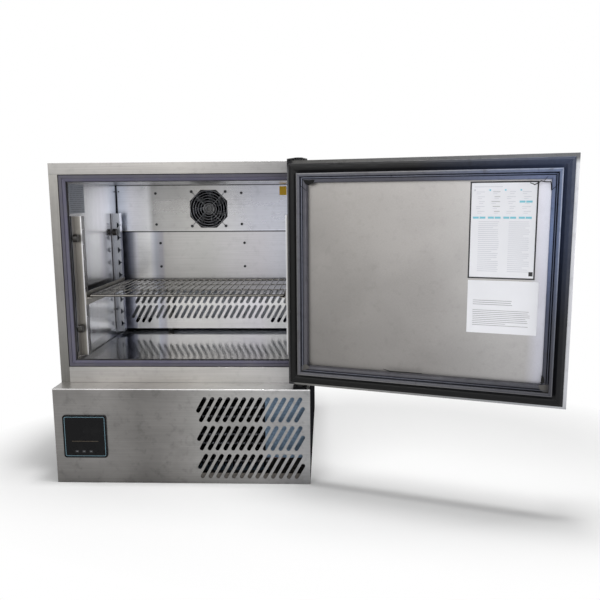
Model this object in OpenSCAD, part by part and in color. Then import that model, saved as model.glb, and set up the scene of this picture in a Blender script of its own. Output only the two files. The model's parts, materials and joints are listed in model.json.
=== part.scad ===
// Undercounter prep refrigerator with a cooling unit in its base, modelled with the door open.
// Origin: centre of the footprint on the floor. +X is the hinge side, -Y the front and +Z up.

/* [Body] */
// Width over the side panels
body_w = 650; // [630:2:760]
// Height of the whole body
body_h = 808; // [790:2:900]
// Height of the base that holds the cooling unit
base_h = 248; // [246:1:262]
// How far the base stands forward of the cabinet
base_step = 62; // [60:1:68]
// Thickness of the outer steel sheet
sheet = 1.2; // [0.8:0.1:1.6]
// Gap left at a seam between two sheets
seam = 0.15; // [0.1:0.05:0.3]

/* [Cabinet] */
// Side wall, from the outer face to the inner face
wall_side = 41; // [36:1:48]
// Ceiling, from the outer face to the inner face
wall_top = 46; // [42:1:54]
// Floor, from the top of the base to the inner face
wall_floor = 54.5; // [52:0.5:60]
// Rear wall, from the outer face to the inner face
wall_back = 65; // [50:1:72]
// Thickness of the inner lining sheet
liner_t = 1; // [0.8:0.1:1.5]
// Width of the steel column at each side of the opening
column_w = 22.5; // [18:0.5:26]
// Height of the steel fascia over the opening
fascia_h = 28; // [24:1:32]
// Height of the steel sill under the opening
sill_h = 41.5; // [36:0.5:44]
// Depth of the folded edge behind fascia, columns and sill
fold_d = 10; // [6:1:12]
// Depth of the plastic frame around the opening
breaker_d = 16; // [14:1:20]
// How far the plastic frame stands inside the walls and the ceiling
breaker_lip = 2.5; // [1.5:0.5:4]
// How far the plastic frame stands above the floor
breaker_sill = 4.5; // [2:0.5:6]
// Height of the turned-up edge of the floor tray
upstand_h = 22; // [12:1:30]

/* [Air panels] */
// Depth of the storage space, from the cabinet front to the air panels
store_d = 405; // [396:1:500]
// Depth of the space behind the air panels
air_space = 120; // [116:1:130]
// Gap under the lower air panel
duct_gap = 10; // [6:1:20]
// Width of a slot in the lower air panel
duct_slot_w = 9.5; // [7:0.5:10.5]
// Distance between two slots in the lower air panel
duct_slot_pitch = 19.6; // [18:0.2:22]
// Height of a slot in the lower air panel, end to end
duct_slot_h = 43; // [34:1:44]
// Extra length of the longer slots near both ends
duct_slot_extra = 13; // [6:1:14]
// Distance from the wall to the first slot's middle
duct_slot_margin = 44.5; // [40:0.5:60]
// Lean of every air slot from the horizontal
slot_lean = 61; // [55:1:70]

/* [Evaporator] */
// Sideways place of the evaporator fan
fan_x = 3; // [-20:1:20]
// Distance from the ceiling down to the fan's axis
fan_drop = 74; // [68:1:80]
// Side of the square fan frame
fan_frame_w = 119; // [116:1:121]
// Height of the upper air panel below the fan frame
fan_skirt = 7.5; // [6:0.5:16]
// Depth of the fan frame
fan_frame_d = 38; // [32:1:38]
// Spacing of the fan's screws
fan_screw_pitch = 105; // [104:0.5:106]
// Width across flats of the opening in front of the fan
fan_hole_w = 116; // [112:1:117]
// Bore of the fan frame
fan_bore_r = 57; // [54:0.5:57]
// Clearance between the blade tips and the fan frame
tip_gap = 1.5; // [1:0.25:3]
// Distance between two rings of the fan guard
guard_pitch = 8; // [6:0.5:8]
// Thickness of the guard's wire
guard_wire = 2; // [1.5:0.1:2.5]
// Width of the evaporator's fin pack
evap_w = 420; // [380:5:440]
// Height of the evaporator's fin pack
evap_h = 250; // [225:25:275]
// Distance between two evaporator fins
evap_fin_pitch = 14; // [10:1:20]
// Depth of the evaporator's fin pack
evap_d = 50; // [46:1:52]
// Height of the drip tray under the evaporator
drip_h = 18; // [12:1:24]
// Outer radius of the drain pipe
drain_r = 9; // [7:0.5:11]
// Wall of the drain pipe
drain_wall = 2; // [1:0.5:3]
// Distance from the drip tray's end to the drain pipe
drain_inset = 72; // [40:1:100]

/* [Shelf] */
// Width of each shelf upright's front face
upright_w = 21.5; // [18:0.5:24]
// Depth of each shelf upright's side face
upright_d = 22; // [18:1:26]
// Width of the edge that lies on the wall
upright_foot = 16; // [12:1:20]
// Sheet of the uprights and runners
upright_t = 1.5; // [1:0.25:2]
// Height of each upright
upright_h = 364; // [350:1:380]
// Gap between an upright and the floor
upright_gap = 10; // [6:1:14]
// Distance from the cabinet front to the front uprights
upright_front = 38; // [32:1:44]
// Distance from the cabinet front to the rear uprights
upright_rear = 357; // [340:1:368]
// Distance between two notches
notch_pitch = 38; // [34:1:42]
// Height of a notch at its open end
notch_h = 21; // [13:1:24]
// Width of a notch
notch_w = 8; // [6:0.5:10]
// Notch, counted from the bottom, that holds the runners
runner_notch = 3; // [1:1:6]
// Diameter of the fixing knobs
knob_dia = 20; // [14:1:22]
// Length of the fixing knobs
knob_len = 12; // [8:1:14]
// Distance between the two fixing holes of an upright
knob_spacing = 236; // [200:2:250]
// Width of the ledge that carries the shelf
ledge_w = 15; // [12:1:20]
// Height of a shelf runner
runner_h = 35; // [32:1:42]
// Depth of the wire shelf
shelf_d = 348; // [330:1:352]
// Diameter of the shelf's outer rod
shelf_rod = 6.5; // [5:0.5:8]
// Diameter of the shelf's wires
shelf_wire = 3; // [2.5:0.25:4]
// Distance between two shelf wires
shelf_pitch = 17.6; // [14:0.2:24]
// Play between the shelf and each runner
shelf_play = 4; // [2:0.5:6]

/* [Door] */
// How far the door stands open in the rest pose, in degrees
door_open = 162; // [150:1:175]
// Distance from the body's side to the hinge axis
hinge_inset = 25.5; // [22:0.5:27]
// Distance from the cabinet front to the hinge axis
hinge_fwd = 38; // [38:0.5:42]
// Gap between the door's edge and the body's side
door_side_gap = 1.5; // [0.5:0.5:4]
// Gap under the door
door_gap_low = 11; // [9:0.5:14]
// Gap between the door's top and the height of the body's top
door_gap_high = 1.5; // [1:0.5:4]
// Thickness of the door's steel box
door_t = 42; // [36:1:43]
// Distance from the cabinet front to the door's inner rim
rim_gap = 23; // [22:0.5:26]
// Width of the steel rim around the door's inner face
rim_w = 7.5; // [6:0.5:10]
// Width of the black seal carrier
carrier_w = 23; // [18:0.5:25]
// Height of the black seal carrier above the rim
carrier_h = 15; // [10:0.5:15]
// Width of the grey door seal
seal_w = 22; // [18:0.5:26]
// Gap between the closed seal and the cabinet front
seal_gap = 0.6; // [0.4:0.1:1]
// Radius of the hinge pins
pin_r = 5; // [4:0.5:6]
// Running clearance of the hinge pins
pin_fit = 0.06; // [0.03:0.01:0.09]
// Outer radius of the hinge bushes
bush_r = 8; // [7.5:0.25:9]
// Radius of the hinge bushes' flanges
bush_flange_r = 10; // [9.5:0.25:11]
// Thickness of the lower hinge plate
low_plate_t = 4; // [3:0.5:5]
// Thickness of the upper hinge plate
top_plate_t = 3; // [2.5:0.5:4]
// How far the upper hinge plate's arm is raised above the body's top
arm_rise = 2.5; // [1:0.5:2.5]
// Length of a hinge pin inside the door
pin_reach = 20; // [14:1:24]
// Length of the handle's grip
handle_len = 190; // [150:5:240]
// Width of the handle's grip
handle_w = 18; // [14:1:22]
// Thickness of the handle's grip
handle_t = 12; // [10:1:14]
// Finger room behind the handle's grip
handle_room = 30; // [25:1:35]

/* [Base] */
// Width of a vent slot in the front panel
vent_w = 10.5; // [8:0.5:11]
// Distance between two vent slots
vent_pitch = 20; // [18:0.5:22]
// Height of a vent slot, end to end
vent_h = 65.5; // [58:0.5:67]
// Distance between two rows of vent slots
vent_row_pitch = 74.5; // [72:0.5:76]
// Height of the lowest row's middle
vent_row_z = 46.5; // [44:0.5:50]
// Distance from the body's side to the last vent slot
vent_margin = 14.5; // [10:0.5:20]
// Width and height of the control panel
bezel_w = 112; // [100:1:116]
// How far the control panel stands off the front
bezel_t = 3; // [2:0.5:4]
// Distance from the body's side to the control panel
bezel_margin = 22; // [16:1:40]
// Height of the control panel's lower edge
bezel_z = 68; // [56:1:80]
// Distance between two buttons
button_pitch = 18; // [14:0.5:24]
// Width of a button
button_w = 8; // [6:0.5:10]
// Height of a button
button_h = 5; // [4:0.5:7]
// Travel of a button
button_travel = 0.8; // [0.5:0.1:1.2]
// Play around a button
button_play = 0.3; // [0.2:0.05:0.5]
// Height of the base tray's edge
pan_edge = 28; // [20:1:32]
// Distance from the body's sides to each leg socket
leg_inset = 40; // [34:1:50]
// Bore radius of the leg sockets
leg_bore_r = 5.1; // [4.2:0.1:6]
// Outer radius of the leg sockets
leg_boss_r = 12; // [10:0.5:14]
// Length of the leg sockets
leg_len = 26; // [20:1:30]
// Width of the condenser's fin pack
cond_w = 200; // [180:5:220]
// Depth of the condenser's fin pack
cond_d = 54; // [50:1:58]
// Distance between two condenser fins
cond_fin_pitch = 8; // [6:0.5:12]
// Distance between two condenser tubes
cond_tube_pitch = 24; // [22:0.5:24]
// Gap from the condenser fan's blade tips to the top and bottom of its coil
cond_fan_gap = 18; // [14:0.5:26]
// Radius of the compressor's can
comp_r = 72; // [65:1:76]
// Height of the compressor's can
comp_h = 160; // [150:1:170]
// Radius of the copper pipes
pipe_r = 4; // [3:0.25:5]
// Bore radius of the cable gland
gland_bore_r = 4.5; // [3.5:0.25:5]
// Radius of the condenser fan's motor
motor_r = 34; // [28:1:38]
// Length of the condenser fan's motor
motor_len = 46; // [36:1:52]
// Radius of the filter drier
drier_r = 10; // [8:0.5:12]
// Length of the filter drier between its cones
drier_len = 90; // [70:2:100]
// Width of the electrical box
elec_w = 90; // [70:2:110]
// Depth of the electrical box
elec_d = 170; // [140:5:190]
// Height of the electrical box
elec_h = 118; // [90:2:140]
// Height of the vaporiser tray
vap_h = 60; // [45:1:64]
// Depth of the baffle's folded edge
baffle_fold = 60; // [40:2:80]

/* [Hidden] */
$fn = 48;

// Colours
STEEL = [0.68, 0.68, 0.67];
LINER_STEEL = [0.76, 0.77, 0.78];
GALVANISED = [0.42, 0.50, 0.58];
DARK_PLASTIC = [0.26, 0.25, 0.29];
BLACK = [0.06, 0.06, 0.07];
SEAL_GREY = [0.30, 0.30, 0.35];
COPPER = [0.72, 0.42, 0.26];
FOAM = [0.90, 0.84, 0.66];
WIRE = [0.74, 0.74, 0.73];

// How far a cut runs past the surface that it opens
over = 1;
// How far two joined forms of one piece run into each other
weld = 0.5;

// Planes of the body
body_d = base_step + store_d + air_space + wall_back;
x_out = body_w / 2;
y_base = -body_d / 2;
y_cab = y_base + base_step;
y_rear = body_d / 2;
x_in = x_out - wall_side;
z_ceil = body_h - wall_top;
z_floor = base_h + wall_floor;
y_in = y_rear - wall_back;
y_duct = y_cab + store_d;
y_duct_low = y_duct + sheet + seam;
y_lining = y_cab + breaker_d + seam;
x_lined = x_in - liner_t - 2 * seam;
x_inner_side = x_out - sheet - seam;

// Screws and rivets
screw_r = 2;
screw_hole_r = 2.3;
screw_head_r = 4;
screw_head_h = 2;
screw_len = 9;

// Storage fittings
fit = 0.3;
fan_z = z_ceil - fan_drop;
z_split = fan_z - fan_frame_w / 2 - fan_skirt;
panel_lap = fan_skirt - 1.5;
z_upright = z_floor + upright_gap;
notch_first = 25;
slit_h = 3;
slit_d = 14;
notch_count = floor((upright_h - 2 * notch_first) / notch_pitch) + 1;
z_runner_notch = z_upright + notch_first + runner_notch * notch_pitch;
z_knob_top = z_upright + upright_h - 56;
knob_heights = [z_knob_top, z_knob_top - knob_spacing];
knob_back = knob_dia / 2 + fit;
knob_places = [
    [upright_front, knob_heights[0]], [upright_front, knob_heights[1]],
    [upright_rear, knob_heights[0]]
];
upright_places = [upright_front, upright_rear];
x_flank = x_in - upright_w;
hook_len = 5;
hook_w = 10;
ledge_rise = 12;
z_ledge = z_runner_notch + ledge_rise;
x_runner = x_flank - fit;
z_shelf = z_ledge + upright_t + fit + shelf_rod / 2;
x_shelf = x_runner - upright_t - shelf_play;
y_shelf = y_duct - 8 - shelf_d;

// Door planes, measured from the hinge axis with the door closed
x_pivot = x_out - hinge_inset;
y_pivot = y_cab - hinge_fwd;
door_x1 = hinge_inset - door_side_gap;
door_x0 = door_x1 - body_w + 2 * door_side_gap;
door_rim = hinge_fwd - rim_gap;
door_face = door_rim - door_t;
door_z0 = base_h + door_gap_low;
door_z1 = body_h - door_gap_high;
carrier_y1 = door_rim + carrier_h;
seal_y1 = hinge_fwd - seal_gap;
z_handle = (door_z0 + door_z1) / 2 + 60;
hinge_screw_x = 11;
y_top_screw = y_cab + 18;
y_low_screw = y_cab - 11;

// Base planes
y_front_in = y_base + sheet;
pan_t = 1.5;
x_pan = x_inner_side - seam;
y_pan0 = y_front_in + seam;
y_pan1 = y_rear - sheet - 2 * seam;
cond_x0 = 5;
cond_y0 = y_base + 26;
cond_rows = 2 * floor((base_h - 50) / (2 * cond_tube_pitch));
cond_z0 = pan_t + pan_edge + 4;
cond_h = cond_rows * cond_tube_pitch;
cond_fan_x = cond_x0 + cond_w / 2;
cond_fan_z = cond_z0 + cond_h / 2;
cond_fan_r = cond_h / 2 - cond_fan_gap;
shroud_t = 1.5;
shroud_d = 30;
shroud_r = cond_fan_r + 4;
y_shroud = cond_y0 + cond_d + 3;
comp_x = 95;
comp_back = 206;
comp_y = y_rear - comp_back;
comp_foot_z = pan_t + 22;
z_comp = comp_foot_z + 3;
comp_foot_x = 90;
comp_foot_y = 62;
grille_screw_x = x_inner_side - 12;
grille_screw_z = base_h - 12;
gland_x = -250;
gland_z = 84;
gland_r = 8;
bezel_x0 = -x_out + bezel_margin;
bezel_xc = bezel_x0 + bezel_w / 2;
button_z = bezel_z + 17;
button_xc = bezel_xc - 4;
tray_side = 12;
tray_t = 1.2;
drain_x = -evap_w / 2 - tray_side + drain_inset;
drain_y = y_in - 28;
z_drip = z_ceil - 32 - evap_h - drip_h;
evap_z0 = z_drip + drip_h + 6;
evap_y0 = y_in - 6 - evap_d;
evap_tube_r = 5;
evap_tube_pitch = 25;
evap_rows = 2 * floor(evap_h / (2 * evap_tube_pitch));
cond_tube_r = 4;
tube_over = 8;
suction_r = 9;
suction_x = evap_w / 2 + tube_over + evap_tube_pitch / 2 + evap_tube_r + suction_r + 6;
suction_y = tube_column(1, evap_y0, evap_d);

// Depth of a coil's front column of tubes, j = 0, and of its rear column, j = 1
function tube_column(j, y0, d) = y0 + d / 2 + (j - 0.5) * d / 2;

module box(lo, hi) {
    translate(lo) cube(hi - lo);
}

// A cylinder along Y from y0 to y1
module rod_y(x, z, y0, y1, r) {
    translate([x, y0, z]) rotate([-90, 0, 0]) cylinder(r = r, h = y1 - y0);
}

// A cylinder along X from x0 to x1
module rod_x(x0, x1, y, z, r) {
    translate([x0, y, z]) rotate([0, 90, 0]) cylinder(r = r, h = x1 - x0);
}

// A cylinder along Z from z0 to z1
module rod_z(x, y, z0, z1, r) {
    translate([x, y, z0]) cylinder(r = r, h = z1 - z0);
}

// Both sides: the child and its mirror image in the X = 0 plane
module both_sides() {
    children();
    mirror([1, 0, 0]) children();
}

// A pan-head screw along Y, with its head in front of plane y
module screw_y(x, y, z) {
    rod_y(x, z, y - screw_head_h, y, screw_head_r);
    rod_y(x, z, y - seam, y + screw_len, screw_r);
}

// A screw along Z, with its head above plane z
module screw_z(x, y, z) {
    rod_z(x, y, z, z + screw_head_h, screw_head_r);
    rod_z(x, y, z - screw_len, z + seam, screw_r);
}

// Points along an arc about c
function arc_points(c, r, from, to, steps = 8) =
    [for (i = [0 : steps]) let (a = from + (to - from) * i / steps) c + r * [cos(a), sin(a)]];

// Flat outline of one leaning slot, from fraction lo to fraction hi of its height
module slot_outline(w, h, lo, hi) {
    rise = h - w;
    low = (lo - 0.5) * rise * [1 / tan(slot_lean), 1];
    high = (hi - 0.5) * rise * [1 / tan(slot_lean), 1];
    polygon(concat(
        arc_points(high, w / 2, slot_lean - 90, slot_lean + 90),
        arc_points(low, w / 2, slot_lean + 90, slot_lean + 270)
    ));
}

// A flat sheet standing across Y: an outline in X and Z with thickness t behind plane y
module sheet_y(y, t) {
    translate([0, y + t, 0]) rotate([90, 0, 0]) linear_extrude(height = t) children();
}

// Outline of a rectangle given by two corners
module rect(x0, z0, x1, z1) {
    translate([x0, z0]) square([x1 - x0, z1 - z0]);
}

// Outline of an octagon given by its width across flats
module octagon(w) {
    sides = 8;
    half_side = 180 / sides;
    rotate(half_side) circle(r = w / 2 / cos(half_side), $fn = sides);
}

module top_panel() {
    z0 = body_h - fascia_h;
    color(STEEL) difference() {
        union() {
            box([-x_out, y_cab, body_h - sheet], [x_out, y_rear, body_h]);
            box([-x_out, y_cab, z0], [x_out, y_cab + sheet, body_h]);
            box([-x_out + column_w, y_cab, z0], [x_out - column_w, y_cab + fold_d, z0 + sheet]);
            box([-x_out, y_rear - sheet, body_h - fascia_h], [x_out, y_rear, body_h]);
        }
        for (dx = [-1, 1])
            rod_z(x_pivot + dx * hinge_screw_x, y_top_screw, body_h - 2 * sheet, body_h + sheet,
                screw_hole_r);
    }
}

module side_panel() {
    x1 = -x_out + column_w;
    z1 = body_h - sheet - seam;
    z_col = body_h - fascia_h - seam;
    color(STEEL) {
        box([-x_out, y_cab + sheet + seam, base_h], [-x_out + sheet, y_rear - sheet - seam, z1]);
        box([-x_out, y_cab, base_h], [-x_out + sheet, y_cab + 2 * sheet, z_col]);
        box([-x_out, y_cab, base_h], [x1, y_cab + sheet, z_col]);
        box([x1 - sheet, y_cab, base_h], [x1, y_cab + fold_d, z_col]);
    }
}

module side_panel_left() {
    side_panel();
}

module side_panel_right() {
    mirror([1, 0, 0]) side_panel();
}

module rear_panel() {
    z1 = body_h - fascia_h - seam;
    color(STEEL) {
        box([-x_out, y_rear - sheet, base_h], [x_out, y_rear, z1]);
    }
}

module deck_panel() {
    color(STEEL) difference() {
        box([-x_inner_side, y_cab + fold_d + seam, base_h],
            [x_inner_side, y_rear - sheet - seam, base_h + sheet]);
        rod_z(drain_x, drain_y, base_h - over, base_h + 2 * sheet, drain_r + fit);
        rod_z(suction_x, suction_y, base_h - over, base_h + 2 * sheet, suction_r + fit);
    }
}

module front_sill() {
    x1 = x_out - column_w - seam;
    z1 = base_h + sill_h;
    color(STEEL) {
        box([-x1, y_cab, base_h], [x1, y_cab + sheet, z1]);
        box([-x1, y_cab, z1 - sheet], [x1, y_cab + fold_d, z1]);
        box([-x1, y_cab, base_h], [x1, y_cab + fold_d, base_h + sheet]);
    }
}

module foam_insulation() {
    x1 = x_inner_side - seam;
    z0 = base_h + sheet + seam;
    z1 = body_h - sheet - seam;
    t = liner_t + seam;
    color(FOAM) difference() {
        box([-x1, y_lining, z0], [x1, y_rear - sheet - seam, z1]);
        box([-x_in - t, y_lining - over, z_floor - t], [x_in + t, y_in + t, z_ceil + t]);
        rod_z(drain_x, drain_y, z0 - over, z_floor, drain_r + fit);
        rod_z(suction_x, suction_y, z0 - over, z_floor, suction_r + fit);
        for (dx = [-1, 1])
            rod_z(x_pivot + dx * hinge_screw_x, y_top_screw, z1 - screw_len, z1 + over, screw_hole_r);
    }
}

module liner_side() {
    color(LINER_STEEL)
        box([-x_in - liner_t, y_lining, z_floor], [-x_in, y_in - seam, z_ceil - seam]);
}

module liner_left() {
    liner_side();
}

module liner_right() {
    mirror([1, 0, 0]) liner_side();
}

module liner_top() {
    color(LINER_STEEL)
        box([-x_in - liner_t, y_lining, z_ceil], [x_in + liner_t, y_in - seam, z_ceil + liner_t]);
}

module liner_back() {
    color(LINER_STEEL)
        box([-x_in - liner_t, y_in, z_floor], [x_in + liner_t, y_in + liner_t, z_ceil + liner_t]);
}

module liner_floor() {
    x1 = x_in - seam;
    y1 = y_in - seam;
    z0 = z_floor - liner_t - seam;
    color(LINER_STEEL) difference() {
        union() {
            box([-x1, y_lining, z0], [x1, y1, z_floor - seam]);
            for (x = [-x1, x1 - liner_t])
                box([x, y_lining, z0], [x + liner_t, y1, z_floor + upstand_h]);
            box([-x1, y1 - liner_t, z0], [x1, y1, z_floor + upstand_h]);
        }
        rod_z(drain_x, drain_y, z0 - over, z_floor + over, drain_r + fit);
        rod_z(suction_x, suction_y, z0 - over, z_floor + over, suction_r + fit);
    }
}

// Profile of the plastic frame: first along the face from its outer edge, then into the depth
module breaker_profile(w) {
    face = 0.6;
    edge = 1.5;
    groove = 9;
    groove_w = 1.6;
    groove_d = 2.4;
    nose = 6;
    polygon([
        [0, face + edge], [edge, face], [groove, face], [groove, groove_d],
        [groove + groove_w, groove_d], [groove + groove_w, face],
        [w - nose, face], [w, face + nose], [w, breaker_d], [0, breaker_d]
    ]);
}

module breaker_frame() {
    xo = x_out - column_w - seam;
    xi = x_in - breaker_lip;
    zo1 = body_h - fascia_h - seam;
    zi1 = z_ceil - breaker_lip;
    zo0 = base_h + sill_h + seam;
    zi0 = z_floor + breaker_sill;
    m = seam;
    color(DARK_PLASTIC) {
        intersection() {
            translate([-xo, y_cab, zo1]) rotate([0, 90, 0])
                linear_extrude(height = 2 * xo) breaker_profile(zo1 - zi1);
            sheet_y(y_cab, breaker_d)
                polygon([[-xo + m, zo1], [xo - m, zo1], [xi - m, zi1], [-xi + m, zi1]]);
        }
        intersection() {
            translate([xo, y_cab, zo0]) rotate([0, -90, 0])
                linear_extrude(height = 2 * xo) breaker_profile(zi0 - zo0);
            sheet_y(y_cab, breaker_d)
                polygon([[-xo + m, zo0], [xo - m, zo0], [xi - m, zi0], [-xi + m, zi0]]);
        }
        both_sides() intersection() {
            translate([-xo, y_cab, zo0])
                linear_extrude(height = zo1 - zo0) breaker_profile(xo - xi);
            sheet_y(y_cab, breaker_d)
                polygon([[-xo, zo0 + m], [-xo, zo1 - m], [-xi, zi1 - m], [-xi, zi0 + m]]);
        }
    }
}

// Places of the screws that hold the upper air panel
fan_panel_screws = [for (x = [-164, 102], z = [48, -47]) [fan_x + x, fan_z + z]];
duct_screw_z = z_split - 38;
duct_screws = [for (x = [-154, 109], z = [0, -73]) [fan_x + x, duct_screw_z + z]];

module fan_panel() {
    x1 = x_in - 2 * seam;
    p = fan_screw_pitch / 2;
    fold_cut = fan_frame_w / 2 + 10;
    color(LINER_STEEL) {
        sheet_y(y_duct, sheet) difference() {
            rect(-x1, z_split, x1, z_ceil - seam);
            translate([fan_x, fan_z]) octagon(fan_hole_w);
            for (sx = [-p, p], sz = [-p, p])
                translate([fan_x + sx, fan_z + sz]) circle(r = screw_hole_r);
            for (q = fan_panel_screws)
                translate(q) circle(r = screw_hole_r);
        }
        difference() {
            box([-x1, y_duct, z_ceil - seam - sheet], [x1, y_duct + fold_d, z_ceil - seam]);
            box([fan_x - fold_cut, y_duct + sheet, z_ceil - 2 * sheet],
                [fan_x + fold_cut, y_duct + 2 * fold_d, z_ceil]);
        }
    }
}

// Leaning slots in two rows. The second to fourth slot of the lower row and its last three are longer
module duct_slots() {
    wall_margin = 33;
    x0 = -x_in + duct_slot_margin;
    count = floor((x_in - wall_margin - x0) / duct_slot_pitch) + 1;
    z_low = z_floor + 63;
    z_high = z_low + duct_slot_h + 5;
    row_shift = 13.5;
    extra = duct_slot_extra / 2;
    dx = extra / tan(slot_lean);
    for (k = [0 : count - 1]) {
        long_slot = (k > 0 && k < 4) || k > count - 4;
        x = x0 + k * duct_slot_pitch;
        if (long_slot)
            translate([x - dx, z_low - extra])
                slot_outline(duct_slot_w, duct_slot_h + duct_slot_extra, 0, 1);
        else
            translate([x, z_low]) slot_outline(duct_slot_w, duct_slot_h, 0, 1);
        translate([x + row_shift, z_high]) slot_outline(duct_slot_w, duct_slot_h, 0, 1);
    }
}

module duct_panel() {
    x1 = x_lined;
    color(LINER_STEEL) {
        sheet_y(y_duct_low, sheet) difference() {
            rect(-x1, z_floor + duct_gap, x1, z_split + panel_lap);
            duct_slots();
            for (q = duct_screws)
                translate(q) circle(r = screw_hole_r);
        }
    }
}

// One upright plate of a coil, across X at x, with a hole round each tube
module coil_plate(x, t, y0, y1, z0, z1, coil_y, coil_d, coil_z, rows, pitch, r) {
    translate([x - t / 2, 0, 0]) rotate([90, 0, 90]) linear_extrude(height = t) difference() {
        translate([y0, z0]) square([y1 - y0, z1 - z0]);
        for (i = [0 : rows - 1], j = [0, 1])
            translate([tube_column(j, coil_y, coil_d), coil_z + (i + 0.5) * pitch])
                circle(r = r + seam);
    }
}

// One unbroken tube that runs through both columns of every row, with its ends at the right
module coil_tube(x0, x1, y0, d, z0, rows, pitch, r) {
    xa = x0 - tube_over;
    xb = x1 + tube_over;
    for (i = [0 : rows - 1], j = [0, 1])
        rod_x(xa, xb, tube_column(j, y0, d), z0 + (i + 0.5) * pitch, r);
    for (i = [0 : rows - 1])
        translate([xa, y0 + d / 2, z0 + (i + 0.5) * pitch]) rotate([0, 0, 90])
            rotate_extrude(angle = 180) translate([d / 4, 0]) circle(r = r);
    for (i = [0 : rows - 2])
        translate([xb, tube_column(i % 2, y0, d), z0 + (i + 1) * pitch])
            rotate([90, 0, 0]) rotate([0, 0, -90])
                rotate_extrude(angle = 180) translate([pitch / 2, 0])
                    circle(r = r);
}

fin_t = 0.8;
header_t = 2;
header_gap = 3;
header_over = 4;
header_front = 2;

module evaporator_fins() {
    count = floor(evap_w / evap_fin_pitch);
    z1 = evap_z0 + evap_rows * evap_tube_pitch;
    x1 = evap_w / 2 + header_gap;
    color([0.74, 0.75, 0.76]) {
        for (k = [0 : count])
            coil_plate((k - count / 2) * evap_fin_pitch, fin_t, evap_y0, evap_y0 + evap_d, evap_z0,
                z1, evap_y0, evap_d, evap_z0, evap_rows, evap_tube_pitch, evap_tube_r);
        for (x = [-x1, x1])
            coil_plate(x, header_t, evap_y0 - header_front, y_in - seam, evap_z0 - header_over,
                z1 + header_over, evap_y0, evap_d, evap_z0, evap_rows, evap_tube_pitch, evap_tube_r);
    }
}

module evaporator_tubes() {
    color(COPPER) coil_tube(-evap_w / 2, evap_w / 2, evap_y0, evap_d, evap_z0, evap_rows,
        evap_tube_pitch, evap_tube_r);
}

fan_hub_r = 21;
fan_shaft_r = 2.5;
fan_motor_d = 12;
y_fan = y_duct + sheet + seam;
y_fan_back = y_fan + fan_frame_d;

module evaporator_fan_frame() {
    half = fan_frame_w / 2;
    p = fan_screw_pitch / 2;
    spoke = 4;
    shaft_front = 8;
    color(BLACK) {
        sheet_y(y_fan, fan_frame_d) difference() {
            translate([fan_x - half, fan_z - half]) square(fan_frame_w);
            translate([fan_x, fan_z]) circle(r = fan_bore_r);
            for (sx = [-p, p], sz = [-p, p])
                translate([fan_x + sx, fan_z + sz]) circle(r = screw_hole_r);
        }
        rod_y(fan_x, fan_z, y_fan_back - fan_motor_d, y_fan_back, fan_hub_r);
        for (a = [0, 120, 240])
            translate([fan_x, y_fan_back - spoke, fan_z]) rotate([0, a, 0])
                translate([fan_hub_r - over, 0, -spoke / 2])
                    cube([fan_bore_r - fan_hub_r + 2 * over, spoke, spoke]);
        rod_y(fan_x, fan_z, y_fan + shaft_front, y_fan_back - fan_motor_d + weld, fan_shaft_r);
    }
}

// A fan wheel about the Y axis: a hub with a shaft bore and inclined flat blades
module fan_wheel(hub_r, hub_d, tip_r, blades, shaft_r, chord) {
    blade_t = 2;
    blade_turn = 38;
    difference() {
        union() {
            rotate([-90, 0, 0]) cylinder(r = hub_r, h = hub_d);
            intersection() {
                rotate([-90, 0, 0]) cylinder(r = tip_r, h = hub_d);
                for (k = [0 : blades - 1])
                    rotate([0, k * 360 / blades, 0]) translate([hub_r - over, hub_d / 2, 0])
                        rotate([blade_turn, 0, 0]) translate([0, -blade_t / 2, -chord / 2])
                            cube([tip_r, blade_t, chord]);
            }
        }
        translate([0, -over, 0]) rotate([-90, 0, 0])
            cylinder(r = shaft_r + pin_fit, h = hub_d + 2 * over);
    }
}

module evaporator_fan_rotor() {
    front_gap = 3;
    blades = 7;
    chord = 34;
    y1 = y_fan_back - fan_motor_d - fit;
    color(BLACK) translate([fan_x, y1, fan_z]) mirror([0, 1, 0])
        fan_wheel(fan_hub_r, y1 - y_fan - front_gap, fan_bore_r - tip_gap, blades, fan_shaft_r, chord);
}

module fan_guard() {
    r = guard_wire / 2;
    y_ring = y_duct - seam - 3 * r;
    y_leg = y_duct - seam - r;
    leg_end = 3.2;
    eye_gap = 0.5;
    reach = fan_screw_pitch / sqrt(2) - leg_end;
    ring_max = floor((fan_hole_w / 2) / guard_pitch) * guard_pitch;
    p = fan_screw_pitch / 2;
    color(BLACK) {
        for (ring = [guard_pitch : guard_pitch : ring_max])
            translate([fan_x, y_ring, fan_z]) rotate([90, 0, 0]) rotate_extrude()
                translate([ring, 0]) circle(r = r);
        for (a = [45, 135, 225, 315])
            translate([fan_x, y_leg - fit, fan_z]) rotate([0, a, 0])
                rod_x(guard_pitch - over, reach, 0, 0, r);
        for (sx = [-p, p], sz = [-p, p])
            translate([fan_x + sx, y_leg, fan_z + sz]) rotate([90, 0, 0])
                rotate_extrude() translate([screw_r + r + eye_gap, 0]) circle(r = r);
    }
}

module drip_tray() {
    x1 = evap_w / 2 + tray_side;
    y0 = evap_y0 - 8;
    y1 = y_in - seam;
    t = tray_t;
    color([0.74, 0.75, 0.76]) difference() {
        box([-x1, y0, z_drip], [x1, y1, z_drip + drip_h]);
        box([-x1 + t, y0 + t, z_drip + t], [x1 - t, y1 - t, z_drip + drip_h + over]);
        rod_z(drain_x, drain_y, z_drip - over, z_drip + 2 * t, drain_r - drain_wall);
    }
}

module drain_pipe() {
    z0 = pan_t + seam + vap_h + 33;
    color([0.85, 0.85, 0.83]) difference() {
        rod_z(drain_x, drain_y, z0, z_drip - seam, drain_r);
        rod_z(drain_x, drain_y, z0 - over, z_drip + over, drain_r - drain_wall);
    }
}

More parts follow.
